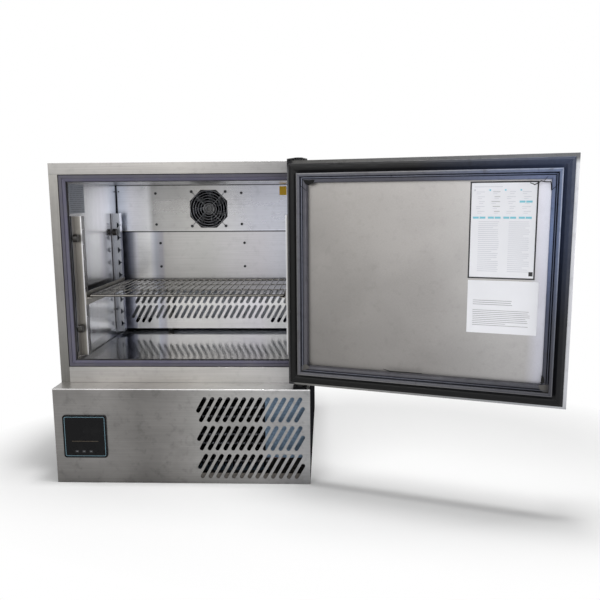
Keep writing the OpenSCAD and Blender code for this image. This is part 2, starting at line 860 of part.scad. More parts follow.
module temperature_probe() {
    z = z_floor + 162;
    y = y_duct_low + sheet + seam;
    probe_r = 3;
    probe_x = -60;
    probe_len = 48;
    clip = 5;
    clip_x = probe_x + 21;
    color(BLACK) {
        rod_x(probe_x, probe_x + probe_len, y + clip, z, probe_r);
        box([clip_x - clip, y, z - clip], [clip_x + clip, y + clip + probe_r + over, z + clip]);
    }
}

// One upright: an edge on the wall, a front face with notches and a side face with slits
module upright(y) {
    x0 = -x_lined;
    x1 = -x_flank;
    t = upright_t;
    color(LINER_STEEL) difference() {
        union() {
            box([x0, y - upright_foot, z_upright], [x0 + t, y + t, z_upright + upright_h]);
            box([x0, y, z_upright], [x1, y + t, z_upright + upright_h]);
            box([x1 - t, y, z_upright], [x1, y + upright_d, z_upright + upright_h]);
        }
        for (k = [0 : notch_count - 1])
            translate([0, 0, z_upright + notch_first + k * notch_pitch]) {
                translate([0, y + t + over, 0]) rotate([90, 0, 0])
                    linear_extrude(height = t + 2 * over) polygon([
                        [x1 - t - notch_w, notch_h / 2], [x1 - t - notch_w, -notch_h / 2],
                        [x1 - t, -slit_h / 2], [x1 + over, -slit_h / 2],
                        [x1 + over, slit_h / 2], [x1 - t, slit_h / 2]
                    ]);
                box([x1 - 2 * t, y - over, -slit_h / 2], [x1 + over, y + slit_d, slit_h / 2]);
            }
        for (z = knob_heights)
            rod_x(x0 - over, x0 + t + over, y - knob_back, z, screw_hole_r);
    }
}

module shelf_uprights() {
    both_sides() for (y = upright_places)
        upright(y_cab + y);
}

module upright_knobs() {
    x0 = -x_lined + upright_t + seam;
    color(BLACK) both_sides() for (q = knob_places) {
        rod_x(x0, x0 + knob_len, y_cab + q[0] - knob_back, q[1], knob_dia / 2);
        rod_x(x0 - upright_t - seam, x0 + over, y_cab + q[0] - knob_back, q[1], screw_r);
    }
}

module shelf_runners() {
    y0 = y_cab + upright_front + upright_t + fit;
    y1 = y_cab + upright_rear + upright_d;
    z0 = z_runner_notch - 2 * slit_h;
    t = upright_t;
    color(LINER_STEEL) both_sides() {
        box([-x_runner, y0, z0], [-x_runner + t, y1, z0 + runner_h]);
        box([-x_runner, y0, z_ledge], [-x_runner + ledge_w, y1, z_ledge + t]);
        for (y = [upright_front + slit_d - hook_w - fit, upright_rear + slit_d - hook_w - fit])
            box([-x_runner - hook_len, y_cab + y, z_runner_notch - slit_h / 2 + fit],
                [-x_runner + t, y_cab + y + hook_w, z_runner_notch + slit_h / 2 - fit]);
    }
}

module screws_and_studs() {
    p = fan_screw_pitch / 2;
    x_low = -x_lined + upright_t + seam;
    y_low = y_cab + upright_rear - knob_back;
    z_low = knob_heights[1];
    color(BLACK) {
        for (q = fan_panel_screws)
            screw_y(q[0], y_duct - seam, q[1]);
        for (q = duct_screws)
            screw_y(q[0], y_duct_low - seam, q[1]);
        for (sx = [-p, p], sz = [-p, p])
            screw_y(fan_x + sx, y_duct - seam - guard_wire - fit, fan_z + sz);
        for (s = [-1, 1])
            mirror([0, 1, 0]) screw_y(s * grille_screw_x, -y_rear - seam, grille_screw_z);
    }
    color(STEEL) for (s = [-1, 1]) {
        screw_z(x_pivot + s * hinge_screw_x, y_top_screw, body_h + top_plate_t + seam);
        screw_z(x_pivot + s * hinge_screw_x, y_low_screw, base_h + low_plate_t + seam);
    }
    color(STEEL) both_sides() {
        rod_x(x_low, x_low + screw_head_h, y_low, z_low, screw_head_r);
        rod_x(x_low - upright_t - seam, x_low + over, y_low, z_low, screw_r);
    }
    color(STEEL) for (q = comp_feet) {
        rod_z(q[0], q[1], pan_t + seam, z_comp + nut_h + 2, stud_r);
        translate([q[0], q[1], z_comp + 2 * seam]) cylinder(r = nut_r, h = nut_h, $fn = 6);
    }
}

module wire_shelf() {
    r = shelf_rod / 2;
    w = shelf_wire / 2;
    x1 = x_shelf - r;
    ya = y_shelf + r;
    yb = y_shelf + shelf_d - r;
    count = floor(2 * x1 / shelf_pitch);
    zw = z_shelf + r - w;
    color(WIRE) {
        for (y = [ya, yb])
            rod_x(-x1, x1, y, z_shelf, r);
        for (x = [-x1, x1])
            rod_y(x, z_shelf, ya, yb, r);
        for (x = [-x1, x1], y = [ya, yb])
            translate([x, y, z_shelf]) sphere(r = r);
        for (f = [1 / 3, 2 / 3])
            rod_x(-x1, x1, ya + f * (yb - ya), zw - 2 * w + weld, w);
        for (k = [0 : count - 1])
            rod_y((k - (count - 1) / 2) * shelf_pitch, zw, ya, yb, w);
    }
}

arm_r = 11;
plate_left = 30;
plate_right = 20;
plate_back = 28;
joggle = 4;

// Plate on the body's top, with a raised arm that narrows towards the hinge pin over the door
module hinge_bracket_top() {
    z0 = body_h;
    z_arm = z0 + arm_rise;
    color(BLACK) {
        difference() {
            box([x_pivot - plate_left, y_cab, z0],
                [x_pivot + plate_right, y_cab + plate_back, z0 + top_plate_t]);
            for (dx = [-1, 1])
                rod_z(x_pivot + dx * hinge_screw_x, y_top_screw, z0 - over,
                    z0 + top_plate_t + over, screw_hole_r);
        }
        box([x_pivot - plate_left, y_cab, z0],
            [x_pivot + plate_right, y_cab + joggle, z_arm + top_plate_t]);
        translate([0, 0, z_arm]) linear_extrude(height = top_plate_t) polygon([
            [x_pivot - plate_left, y_cab + joggle], [x_pivot - plate_left, y_cab],
            [x_pivot - arm_r / 2, y_pivot - arm_r + over], [x_pivot, y_pivot],
            [x_pivot + arm_r - over, y_pivot], [x_pivot + plate_right, y_cab],
            [x_pivot + plate_right, y_cab + joggle]
        ]);
        rod_z(x_pivot, y_pivot, z_arm, z_arm + top_plate_t, arm_r);
        rod_z(x_pivot, y_pivot, door_z1 - pin_reach, z_arm + weld, pin_r);
    }
}

module hinge_bracket_low() {
    half = 17;
    front_edge = 6;
    rear_edge = 2;
    z1 = base_h + low_plate_t;
    color(BLACK) {
        difference() {
            box([x_pivot - half, y_base + front_edge, base_h], [x_pivot + half, y_cab - rear_edge, z1]);
            for (dx = [-1, 1])
                rod_z(x_pivot + dx * hinge_screw_x, y_low_screw, base_h - over, z1 + over,
                    screw_hole_r);
        }
        rod_z(x_pivot, y_pivot, z1 - weld, door_z0 + pin_reach, pin_r);
    }
}

// Places its children, drawn with the door closed and the hinge axis at X = Y = 0
module door_place() {
    translate([x_pivot, y_pivot, 0]) rotate([0, 0, door_open]) children();
}

bush_end = 2;
plate_fit = 0.2;

module hinge_bushes() {
    z_low = base_h + low_plate_t + plate_fit;
    z_high = body_h + arm_rise - plate_fit;
    color([0.12, 0.12, 0.13]) door_place() {
        difference() {
            union() {
                rod_z(0, 0, door_z0 - weld, door_z0 + pin_reach + bush_end, bush_r);
                rod_z(0, 0, z_low, door_z0 - seam, bush_flange_r);
            }
            rod_z(0, 0, z_low - over, door_z0 + pin_reach + bush_end / 2, pin_r + pin_fit);
        }
        difference() {
            union() {
                rod_z(0, 0, door_z1 - pin_reach - bush_end, door_z1 + weld, bush_r);
                rod_z(0, 0, door_z1 + seam, z_high, bush_flange_r);
            }
            rod_z(0, 0, door_z1 - pin_reach - bush_end / 2, z_high + over, pin_r + pin_fit);
        }
    }
}

module door_skin() {
    s = sheet;
    color(STEEL) door_place() difference() {
        box([door_x0, door_face, door_z0], [door_x1, door_rim, door_z1]);
        box([door_x0 + s, door_face + s, door_z0 + s], [door_x1 - s, door_rim - s, door_z1 - s]);
        box([door_x0 + rim_w, door_face + s, door_z0 + rim_w],
            [door_x1 - rim_w, door_rim + over, door_z1 - rim_w]);
        rod_z(0, 0, door_z0 - over, door_z1 + over, bush_r + seam);
    }
}

module door_liner() {
    m = rim_w / 2;
    y1 = door_rim - sheet - seam;
    color(LINER_STEEL) door_place()
        box([door_x0 + m, y1 - liner_t, door_z0 + m], [door_x1 - m, y1, door_z1 - m]);
}

module door_foam() {
    s = sheet + seam;
    y1 = door_rim - s - seam - liner_t;
    color(FOAM) door_place() difference() {
        box([door_x0 + s, door_face + s, door_z0 + s], [door_x1 - s, y1 - seam, door_z1 - s]);
        rod_z(0, 0, door_z0, door_z0 + pin_reach + bush_end + over, bush_r + seam);
        rod_z(0, 0, door_z1 - pin_reach - bush_end - over, door_z1, bush_r + seam);
    }
}

// A rectangular ring on the door's inner face, from inset a to inset b and from y0 to y1
module door_ring(a, b, y0, y1) {
    difference() {
        box([door_x0 + a, y0, door_z0 + a], [door_x1 - a, y1, door_z1 - a]);
        box([door_x0 + b, y0 - over, door_z0 + b], [door_x1 - b, y1 + over, door_z1 - b]);
    }
}

module seal_carrier() {
    a = rim_w + seam;
    b = rim_w + carrier_w;
    step_w = 3;
    step_h = 2;
    inner_w = 5;
    y1 = carrier_y1 - 2 * step_h;
    color(BLACK) door_place() {
        door_ring(a, b, door_rim - sheet, y1);
        door_ring(a + step_w, b, y1 - weld, y1 + step_h);
        door_ring(a + 2 * step_w, b - inner_w, y1 + step_h - weld, carrier_y1);
    }
}

module door_seal() {
    a = rim_w + carrier_w + seam;
    b = a + seal_w;
    y0 = door_rim - sheet;
    y1 = y0 + 6;
    bead_w = 9;
    lip_a = 12;
    lip_b = 2;
    lip_drop = 9;
    web_drop = 13;
    color(SEAL_GREY) door_place() {
        door_ring(a, b, y0, y1);
        door_ring(a, a + bead_w, y1 - weld, seal_y1);
        door_ring(a + lip_a, b - lip_b, y1 - weld, seal_y1 - lip_drop);
        door_ring(a + bead_w - weld, a + lip_a + weld, y1 - weld, seal_y1 - web_drop);
    }
}

module door_handle() {
    handle_in = 26;
    x0 = door_x0 + handle_in;
    y1 = door_face - seam;
    y0 = y1 - handle_room - handle_t;
    post = 16;
    color(BLACK) door_place() {
        box([x0, y0, z_handle - handle_len / 2], [x0 + handle_w, y0 + handle_t,
            z_handle + handle_len / 2]);
        for (z = [z_handle - handle_len / 2, z_handle + handle_len / 2 - post])
            box([x0, y0 + handle_t / 2, z], [x0 + handle_w, y1, z + post]);
    }
}

// Places of the four leg sockets
leg_places = [
    for (x = [-x_out + leg_inset, x_out - leg_inset], y = [y_base + leg_inset, y_rear - leg_inset])
        [x, y]
];
leg_flange_r = leg_boss_r + 5;
leg_flange_t = 4;
comp_feet = [
    for (x = [-comp_foot_x, comp_foot_x], y = [-comp_foot_y, comp_foot_y])
        [comp_x + x, comp_y + y]
];
stud_r = 3.8;
nut_r = 7;
nut_h = 6;

module base_pan() {
    z1 = pan_edge;
    color(STEEL) difference() {
        union() {
            box([-x_pan, y_pan0, 0], [x_pan, y_pan1, pan_t]);
            for (x = [-x_pan, x_pan - pan_t])
                box([x, y_pan0, 0], [x + pan_t, y_pan1, z1]);
            for (y = [y_pan0, y_pan1 - pan_t])
                box([-x_pan, y, 0], [x_pan, y + pan_t, z1]);
        }
        for (q = leg_places)
            rod_z(q[0], q[1], -over, pan_t + over, leg_boss_r + seam);
    }
}

module leg_sockets() {
    color([0.5, 0.5, 0.5]) for (q = leg_places)
        difference() {
            union() {
                rod_z(q[0], q[1], 0, leg_len, leg_boss_r);
                rod_z(q[0], q[1], pan_t + seam, pan_t + leg_flange_t, leg_flange_r);
            }
            rod_z(q[0], q[1], -over, leg_len + over, leg_bore_r);
        }
}

// Leaning vent slots in three rows; the first of a row keeps its upper half, the last its lower half
module vent_slots() {
    x_last = x_out - vent_margin - vent_w / 2;
    last = 13;
    for (row = [0 : 2], k = [0 : last])
        translate([x_last - (last - k) * vent_pitch, vent_row_z + row * vent_row_pitch])
            slot_outline(vent_w, vent_h, k == 0 ? 0.45 : 0, k == last ? 0.55 : 1);
}

module base_front_panel() {
    cut = 12;
    color(STEEL) difference() {
        union() {
            sheet_y(y_base, sheet) difference() {
                rect(-x_out, 0, x_out, base_h);
                vent_slots();
                rect(bezel_x0 + cut, bezel_z + cut, bezel_x0 + bezel_w - cut,
                    bezel_z + bezel_w - cut);
            }
            box([-x_inner_side, y_base, base_h - sheet], [x_inner_side, y_cab - seam, base_h]);
        }
        for (dx = [-1, 1])
            rod_z(x_pivot + dx * hinge_screw_x, y_low_screw, base_h - 2 * sheet, base_h + over,
                screw_hole_r);
    }
}

module base_side() {
    color(STEEL) {
        box([-x_out, y_front_in + seam, 0], [-x_out + sheet, y_rear, base_h - seam]);
    }
}

module base_side_left() {
    base_side();
}

module base_side_right() {
    mirror([1, 0, 0]) base_side();
}

module base_rear_grille() {
    x1 = x_inner_side;
    louvre_w = 5;
    louvre_h = 60;
    louvre_pitch = 16;
    louvre_edge = 30;
    louvres = floor((x1 - louvre_edge) / louvre_pitch);
    rows = [base_h - 1.5 * louvre_h, base_h - 2.75 * louvre_h];
    color(STEEL) sheet_y(y_rear - sheet, sheet) difference() {
        rect(-x1, 0, x1, base_h - seam);
        for (k = [0 : louvres - 1], z = rows)
            translate([x1 - louvre_edge - k * louvre_pitch, z])
                rect(-louvre_w / 2, -louvre_h / 2, louvre_w / 2, louvre_h / 2);
        translate([gland_x, gland_z]) circle(r = gland_r + seam);
        for (s = [-1, 1])
            translate([s * grille_screw_x, grille_screw_z]) circle(r = screw_hole_r);
    }
}

// Outline of the compressor's can, inset by m, for turning about its axis
module can_outline(m) {
    corner = 26;
    r = comp_r - corner;
    intersection() {
        union() {
            translate([0, m]) square([r, comp_h - 2 * m]);
            translate([0, corner]) square([comp_r - m, comp_h - 2 * corner]);
            for (z = [corner, comp_h - corner])
                translate([r, z]) circle(r = corner - m);
        }
        square([comp_r, comp_h]);
    }
}

module compressor() {
    shell = 3.5;
    plate_m = 14;
    block_r = 40;
    block_drop = 50;
    relay_w = 22;
    relay_z = 60;
    relay_h = 52;
    z0 = z_comp;
    zp = comp_foot_z + seam;
    color(BLACK) {
        translate([comp_x, comp_y, z0]) rotate_extrude() difference() {
            can_outline(0);
            can_outline(shell);
        }
        rod_z(comp_x, comp_y, z0 + shell + seam, z0 + comp_h - block_drop, block_r);
        difference() {
            box([comp_x - comp_foot_x - plate_m, comp_y - comp_foot_y - plate_m, zp],
                [comp_x + comp_foot_x + plate_m, comp_y + comp_foot_y + plate_m, z0 + seam]);
            for (q = comp_feet)
                rod_z(q[0], q[1], comp_foot_z - over, z0 + over, stud_r + fit);
        }
        box([comp_x - comp_r - relay_w, comp_y - relay_w, z0 + relay_z],
            [comp_x - comp_r + shell - over, comp_y + relay_w, z0 + relay_z + relay_h]);
    }
}

mount_r = 11;
mount_foot_r = 14;
mount_foot_t = 5;

module compressor_mounts() {
    color([0.1, 0.1, 0.1]) for (q = comp_feet)
        difference() {
            union() {
                rod_z(q[0], q[1], pan_t + seam, comp_foot_z, mount_r);
                rod_z(q[0], q[1], pan_t + seam, pan_t + mount_foot_t, mount_foot_r);
            }
            rod_z(q[0], q[1], 0, comp_foot_z + over, stud_r + seam);
        }
}

module condenser_fins() {
    count = floor(cond_w / cond_fin_pitch);
    z1 = cond_z0 + cond_h;
    xc = cond_x0 + cond_w / 2;
    color(BLACK) {
        for (k = [0 : count])
            coil_plate(xc + (k - count / 2) * cond_fin_pitch, fin_t, cond_y0, cond_y0 + cond_d,
                cond_z0, z1, cond_y0, cond_d, cond_z0, cond_rows, cond_tube_pitch, cond_tube_r);
        for (x = [cond_x0 - header_gap, cond_x0 + cond_w + header_gap])
            coil_plate(x, header_t, cond_y0 - over, cond_y0 + cond_d + over, pan_t + seam, z1,
                cond_y0, cond_d, cond_z0, cond_rows, cond_tube_pitch, cond_tube_r);
    }
}

module condenser_tubes() {
    color([0.35, 0.36, 0.38]) coil_tube(cond_x0, cond_x0 + cond_w, cond_y0, cond_d, cond_z0,
        cond_rows, cond_tube_pitch, cond_tube_r);
}

module condenser_shroud() {
    side = 6;
    foot = 14;
    x0 = cond_x0 - side;
    x1 = cond_x0 + cond_w + side;
    z0 = pan_t + seam;
    color(GALVANISED) {
        sheet_y(y_shroud, shroud_t) difference() {
            rect(x0, z0, x1, cond_z0 + cond_h + over);
            translate([cond_fan_x, cond_fan_z]) circle(r = shroud_r);
        }
        difference() {
            rod_y(cond_fan_x, cond_fan_z, y_shroud, y_shroud + shroud_d, shroud_r + shroud_t);
            rod_y(cond_fan_x, cond_fan_z, y_shroud - over, y_shroud + shroud_d + over, shroud_r);
        }
        box([x0, y_shroud, z0], [x1, y_shroud + foot, z0 + shroud_t]);
    }
}

cond_shaft_r = 3;
cond_hub_r = 20;
y_motor = y_shroud + shroud_d + 4;

module condenser_fan_motor() {
    arm = shroud_r + shroud_t;
    arm_t = 2;
    half = 5;
    grip = 14;
    shaft_len = 26;
    color([0.16, 0.16, 0.17]) {
        rod_y(cond_fan_x, cond_fan_z, y_motor, y_motor + motor_len, motor_r);
        rod_y(cond_fan_x, cond_fan_z, y_motor - shaft_len, y_motor + over, cond_shaft_r);
        for (a = [45, 135, 225, 315])
            translate([cond_fan_x, 0, cond_fan_z]) rotate([0, a, 0]) {
                box([motor_r - arm_t, y_motor, -half], [arm + arm_t, y_motor + arm_t, half]);
                box([arm + seam, y_motor - grip, -half], [arm + arm_t, y_motor + over, half]);
            }
    }
}

module condenser_fan_rotor() {
    hub_d = 26;
    blades = 5;
    chord = 44;
    color([0.55, 0.56, 0.57]) translate([cond_fan_x, y_motor - fit, cond_fan_z]) mirror([0, 1, 0])
        fan_wheel(cond_hub_r, hub_d, cond_fan_r, blades, cond_shaft_r, chord);
}

// Flat plate beside the coil, seen through the vent slots, with an edge fixed to the base tray
module air_baffle() {
    x0 = cond_x0 + cond_w + header_gap + header_t;
    x1 = x_pan - pan_t - seam;
    y0 = cond_y0 - 4;
    z0 = pan_edge + 34;
    z1 = base_h - 12;
    color(GALVANISED) {
        box([x0, y0, z0], [x1, y0 + shroud_t, z1]);
        box([x1 - shroud_t, y0, pan_t + seam], [x1, y0 + baffle_fold, z1]);
    }
}

drier_x = 250;
drier_ahead = 260;
drier_y = comp_y - drier_ahead;
drier_z = 60;
drier_cone = 16;

module filter_drier() {
    half = 6;
    stand_y = drier_y + drier_len / 2;
    color(COPPER) {
        rod_y(drier_x, drier_z, drier_y, drier_y + drier_len, drier_r);
        translate([drier_x, drier_y + drier_len, drier_z]) rotate([-90, 0, 0])
            cylinder(r1 = drier_r, r2 = pipe_r, h = drier_cone);
        translate([drier_x, drier_y, drier_z]) rotate([90, 0, 0])
            cylinder(r1 = drier_r, r2 = pipe_r, h = drier_cone);
        box([drier_x - half, stand_y - half, pan_t + seam],
            [drier_x + half, stand_y + half, drier_z - drier_r / 2]);
    }
}

// A pipe along a list of corner points, with a ball at each corner
module pipe_run(points, r) {
    for (i = [0 : len(points) - 2]) {
        d = points[i + 1] - points[i];
        l = norm(d);
        translate(points[i]) rotate([0, acos(d[2] / l), atan2(d[1], d[0])])
            cylinder(r = r, h = l);
    }
    for (i = [1 : len(points) - 2])
        translate(points[i]) sphere(r = r + fit);
}

module refrigerant_pipes() {
    z_can = z_comp + comp_h + seam;
    x_can = comp_x + 30;
    z_hot = z_can + 16;
    y_tube = tube_column(1, cond_y0, cond_d);
    z_in = cond_z0 + (cond_rows - 0.5) * cond_tube_pitch;
    z_out = cond_z0 + 0.5 * cond_tube_pitch;
    x_end = cond_x0 + cond_w + tube_over + seam;
    x_turn = x_end + 45;
    z_suction = z_comp + 55;
    x_evap = evap_w / 2 + tube_over + seam;
    z_evap = evap_z0 + 0.5 * evap_tube_pitch;
    z_evap_top = evap_z0 + (evap_rows - 0.5) * evap_tube_pitch;
    thin_r = 2;
    color(COPPER) {
        pipe_run([
            [x_can, comp_y, z_can], [x_can, comp_y, z_hot],
            [x_turn, comp_y, z_hot], [x_turn, y_tube, z_in], [x_end, y_tube, z_in]
        ], pipe_r);
        pipe_run([
            [x_end, y_tube, z_out], [drier_x, y_tube, z_out], [drier_x, drier_y - 30, drier_z],
            [drier_x, drier_y - drier_cone - seam, drier_z]
        ], pipe_r);
        pipe_run([
            [drier_x, drier_y + drier_len + drier_cone + seam, drier_z],
            [drier_x, comp_y - 40, drier_z], [suction_x, comp_y, z_suction]
        ], thin_r);
        pipe_run([
            [suction_x, suction_y, z_evap], [suction_x, suction_y, z_evap_top],
            [x_evap, suction_y, z_evap_top]
        ], thin_r);
        pipe_run([
            [suction_x, suction_y, z_evap - 20], [suction_x, suction_y, z_evap],
            [x_evap, suction_y, z_evap]
        ], evap_tube_r);
    }
    color([0.2, 0.2, 0.21]) pipe_run([
        [comp_x + comp_r + seam, comp_y, z_suction], [suction_x, comp_y, z_suction],
        [suction_x, suction_y, z_suction], [suction_x, suction_y, z_evap - 12]
    ], suction_r);
}

vap_room = 65;
vap_ahead = 50;

module vaporiser_tray() {
    edge = 4;
    t = 1.5;
    x0 = -x_out + leg_inset + leg_flange_r + edge;
    x1 = comp_x - comp_foot_x - vap_room;
    y0 = comp_y - vap_ahead;
    y1 = y_pan1 - pan_t - edge;
    z0 = pan_t + seam;
    z1 = z0 + vap_h;
    color([0.60, 0.61, 0.62]) difference() {
        box([x0, y0, z0], [x1, y1, z1]);
        box([x0 + t, y0 + t, z0 + t], [x1 - t, y1 - t, z1 + over]);
    }
}

elec_ahead = 100;

module electrical_box() {
    edge = 3;
    t = 2.5;
    x0 = -x_pan + pan_t + edge;
    x1 = x0 + elec_w;
    y1 = comp_y - elec_ahead;
    y0 = y1 - elec_d;
    z0 = pan_t + seam;
    z1 = z0 + elec_h;
    color([0.62, 0.63, 0.64]) {
        difference() {
            box([x0, y0, z0], [x1, y1, z1]);
            box([x0 + t, y0 + t, z0 + t], [x1 - t, y1 - t, z1 + over]);
        }
        box([x0 - over, y0 - over, z1 + seam], [x1 + over, y1 + over, z1 + t]);
    }
}

module cable_gland() {
    collar_r = gland_r + 3;
    collar_t = 5;
    inside = 24;
    outside = 9;
    y_nut = y_rear - sheet - seam;
    color(BLACK) difference() {
        union() {
            rod_y(gland_x, gland_z, y_rear - inside, y_rear + outside, gland_r);
            rod_y(gland_x, gland_z, y_rear + seam, y_rear + collar_t, collar_r);
            rod_y(gland_x, gland_z, y_nut - collar_t, y_nut, collar_r);
        }
        rod_y(gland_x, gland_z, y_rear - inside - over, y_rear + outside + over, gland_bore_r);
    }
}

// Outline of the control panel with rounded corners
module bezel_outline(m) {
    r = 7;
    a = bezel_w - 2 * m;
    translate([bezel_x0 + m, bezel_z + m]) {
        translate([r, 0]) square([a - 2 * r, a]);
        translate([0, r]) square([a, a - 2 * r]);
        for (x = [r, a - r], z = [r, a - r])
            translate([x, z]) circle(r = r);
    }
}

function button_x(k) = button_xc + (k - 1) * button_pitch;

module controller() {
    play = button_play;
    bw = button_w / 2 + play;
    bh = button_h / 2 + play;
    case_m = 14;
    case_d = 44;
    y1 = y_base - seam;
    pocket = 6;
    color(BLACK) difference() {
        union() {
            sheet_y(y1 - bezel_t, bezel_t) bezel_outline(0);
            box([bezel_x0 + case_m, y1 - over, bezel_z + case_m],
                [bezel_x0 + bezel_w - case_m, y_base + case_d, bezel_z + bezel_w - case_m]);
        }
        for (k = [0 : 2])
            box([button_x(k) - bw, y1 - bezel_t - over, button_z - bh],
                [button_x(k) + bw, y1 - bezel_t + pocket, button_z + bh]);
    }
}

// A push button that stands proud of the control panel by its own travel
module button(k) {
    y0 = y_base - seam - bezel_t - button_travel;
    tail = 4.5;
    color([0.45, 0.47, 0.5])
        box([button_x(k) - button_w / 2, y0, button_z - button_h / 2],
            [button_x(k) + button_w / 2, y0 + button_travel + tail, button_z + button_h / 2]);
}

module button_left() {
    button(0);
}

module button_middle() {
    button(1);
}

module button_right() {
    button(2);
}

top_panel();
side_panel_left();
side_panel_right();
rear_panel();
deck_panel();
front_sill();
foam_insulation();
liner_left();
liner_right();
liner_top();
liner_floor();
liner_back();
breaker_frame();
fan_panel();
duct_panel();
evaporator_fins();
evaporator_tubes();
evaporator_fan_frame();
evaporator_fan_rotor();
fan_guard();
drip_tray();
drain_pipe();
temperature_probe();
shelf_uprights();
upright_knobs();
shelf_runners();
screws_and_studs();
wire_shelf();
hinge_bracket_top();
hinge_bracket_low();
hinge_bushes();
door_skin();
door_liner();
door_foam();
seal_carrier();
door_seal();
door_handle();
base_pan();
base_front_panel();
base_side_left();
base_side_right();
base_rear_grille();
leg_sockets();
compressor();
compressor_mounts();
condenser_fins();
condenser_tubes();
condenser_shroud();
condenser_fan_motor();
condenser_fan_rotor();
air_baffle();
filter_drier();
refrigerant_pipes();
vaporiser_tray();
electrical_box();
cable_gland();
controller();
button_left();
button_middle();
button_right();
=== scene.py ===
"""Looks of an undercounter prep refrigerator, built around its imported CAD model, in metres."""
import json
import math
import random

import bmesh
import bpy
from mathutils import Matrix, Vector, noise


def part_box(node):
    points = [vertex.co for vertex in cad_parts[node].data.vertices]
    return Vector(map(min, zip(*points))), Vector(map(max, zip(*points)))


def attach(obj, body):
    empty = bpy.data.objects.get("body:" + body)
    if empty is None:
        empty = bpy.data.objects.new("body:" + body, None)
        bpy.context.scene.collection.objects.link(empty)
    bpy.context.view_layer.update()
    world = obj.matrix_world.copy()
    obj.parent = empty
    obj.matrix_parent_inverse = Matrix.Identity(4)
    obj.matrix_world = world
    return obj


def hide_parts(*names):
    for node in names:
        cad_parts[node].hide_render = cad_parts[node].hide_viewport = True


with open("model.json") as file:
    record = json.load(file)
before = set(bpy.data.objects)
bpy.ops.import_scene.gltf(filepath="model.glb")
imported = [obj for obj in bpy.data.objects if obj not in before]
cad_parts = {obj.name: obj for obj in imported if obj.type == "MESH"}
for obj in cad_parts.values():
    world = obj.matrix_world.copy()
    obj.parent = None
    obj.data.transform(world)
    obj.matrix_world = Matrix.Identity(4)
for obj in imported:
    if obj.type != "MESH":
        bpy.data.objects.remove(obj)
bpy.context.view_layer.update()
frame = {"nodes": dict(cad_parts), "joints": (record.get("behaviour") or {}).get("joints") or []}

MM = 0.001
NODES = frame["nodes"]
chance = random.Random(7)

# The door's own space: the hinge line is its origin and the door stands open by its angle,
# with X away from its free side, Y off its inner face and Z upwards
hinge = next(joint for joint in frame["joints"] if joint["name"] == "door_hinge")
DOOR_ANGLE = -math.radians(hinge["range_deg"][0])
DOOR = Matrix.Translation(Vector((hinge["pos_m"][0], hinge["pos_m"][1], 0)))
DOOR = DOOR @ Matrix.Rotation(DOOR_ANGLE, 4, "Z")


# Node materials

# Places of a colour mix node's sockets, whose names are shared with hidden ones
MIX_FIRST, MIX_SECOND, MIX_RESULT = 6, 7, 2


def feed(tree, socket, value):
    """Links a socket to a value that comes from another node, or sets it."""
    if isinstance(value, bpy.types.NodeSocket):
        tree.links.new(value, socket)
    else:
        socket.default_value = value


def node(tree, kind, inputs=None, **settings):
    """A new shader node, whose inputs are given by their names or places."""
    made = tree.nodes.new("ShaderNode" + kind)
    for key, value in settings.items():
        setattr(made, key, value)
    for key, value in (inputs or {}).items():
        feed(tree, made.inputs[key], value)
    return made


def dress(tree, surface, **inputs):
    """Feeds a shader's inputs; an underscore stands for a space in a name."""
    for key, value in inputs.items():
        feed(tree, surface.inputs[key.replace("_", " ")], value)


def material(name, **inputs):
    """A new material: itself, its tree and its shader with the given inputs."""
    made = bpy.data.materials.new(name)
    made.use_nodes = True
    tree = made.node_tree
    surface = tree.nodes["Principled BSDF"]
    dress(tree, surface, **inputs)
    return made, tree, surface


def rgba(colour):
    """A linear colour with its alpha, or the socket that a colour comes from."""
    return colour if isinstance(colour, bpy.types.NodeSocket) else (*colour, 1.0)


def srgb(red, green, blue):
    """A linear colour from the 0 to 255 values that a screen shows."""
    shares = [channel / 255 for channel in (red, green, blue)]
    return tuple(s / 12.92 if s <= 0.04045 else ((s + 0.055) / 1.055) ** 2.4 for s in shares)


def darker(colour, share):
    """A share of a colour, which is lighter where the share is over 1."""
    return tuple(channel * share for channel in colour)


def position(tree, scale=(1, 1, 1), turn=0.0):
    """The point on the piece, in the frame's metres, turned about Z and then stretched."""
    here = node(tree, "TexCoord").outputs["Object"]
    if turn:
        here = node(tree, "Mapping", {"Vector": here, "Rotation": (0, 0, -turn)}).outputs["Vector"]
    return node(tree, "Mapping", {"Vector": here, "Scale": scale}).outputs["Vector"]


def place_along(tree, axis):
    """The point's place along one axis of the frame."""
    return node(tree, "SeparateXYZ", {"Vector": position(tree)}).outputs[axis]


def cloud(tree, scale, detail=4.0, turn=0.0, distortion=0.0):
    """Smooth noise from 0 to 1; scale gives its waves per metre along X, Y and Z."""
    return node(tree, "TexNoise", {
        "Vector": position(tree, scale, turn), "Scale": 1.0, "Detail": detail,
        "Distortion": distortion,
    }).outputs["Fac"]


def remap(tree, value, low, high, to_low, to_high):
    """A value moved from one range to another, and kept within the second."""
    return node(tree, "MapRange", {
        "Value": value, "From Min": low, "From Max": high, "To Min": to_low, "To Max": to_high,
    }).outputs["Result"]


def calculated(tree, operation, first, second):
    """The result of a calculation with two values."""
    return node(tree, "Math", {0: first, 1: second}, operation=operation).outputs[0]


def mixed(tree, share, first, second, **settings):
    """A colour between two colours; each is a socket or a linear colour."""
    return node(tree, "Mix", {
        "Factor": share, MIX_FIRST: rgba(first), MIX_SECOND: rgba(second),
    }, data_type="RGBA", **settings).outputs[MIX_RESULT]


def multiplied(tree, first, second):
    """Two colours multiplied; each is a socket or a linear colour."""
    return mixed(tree, 1.0, first, second, blend_type="MULTIPLY", clamp_result=True)


def bump(tree, height, distance):
    """The normal of a surface that rises by up to the distance."""
    return node(tree, "Bump", {
        "Height": height, "Distance": distance, "Strength": 1.0,
    }).outputs["Normal"]


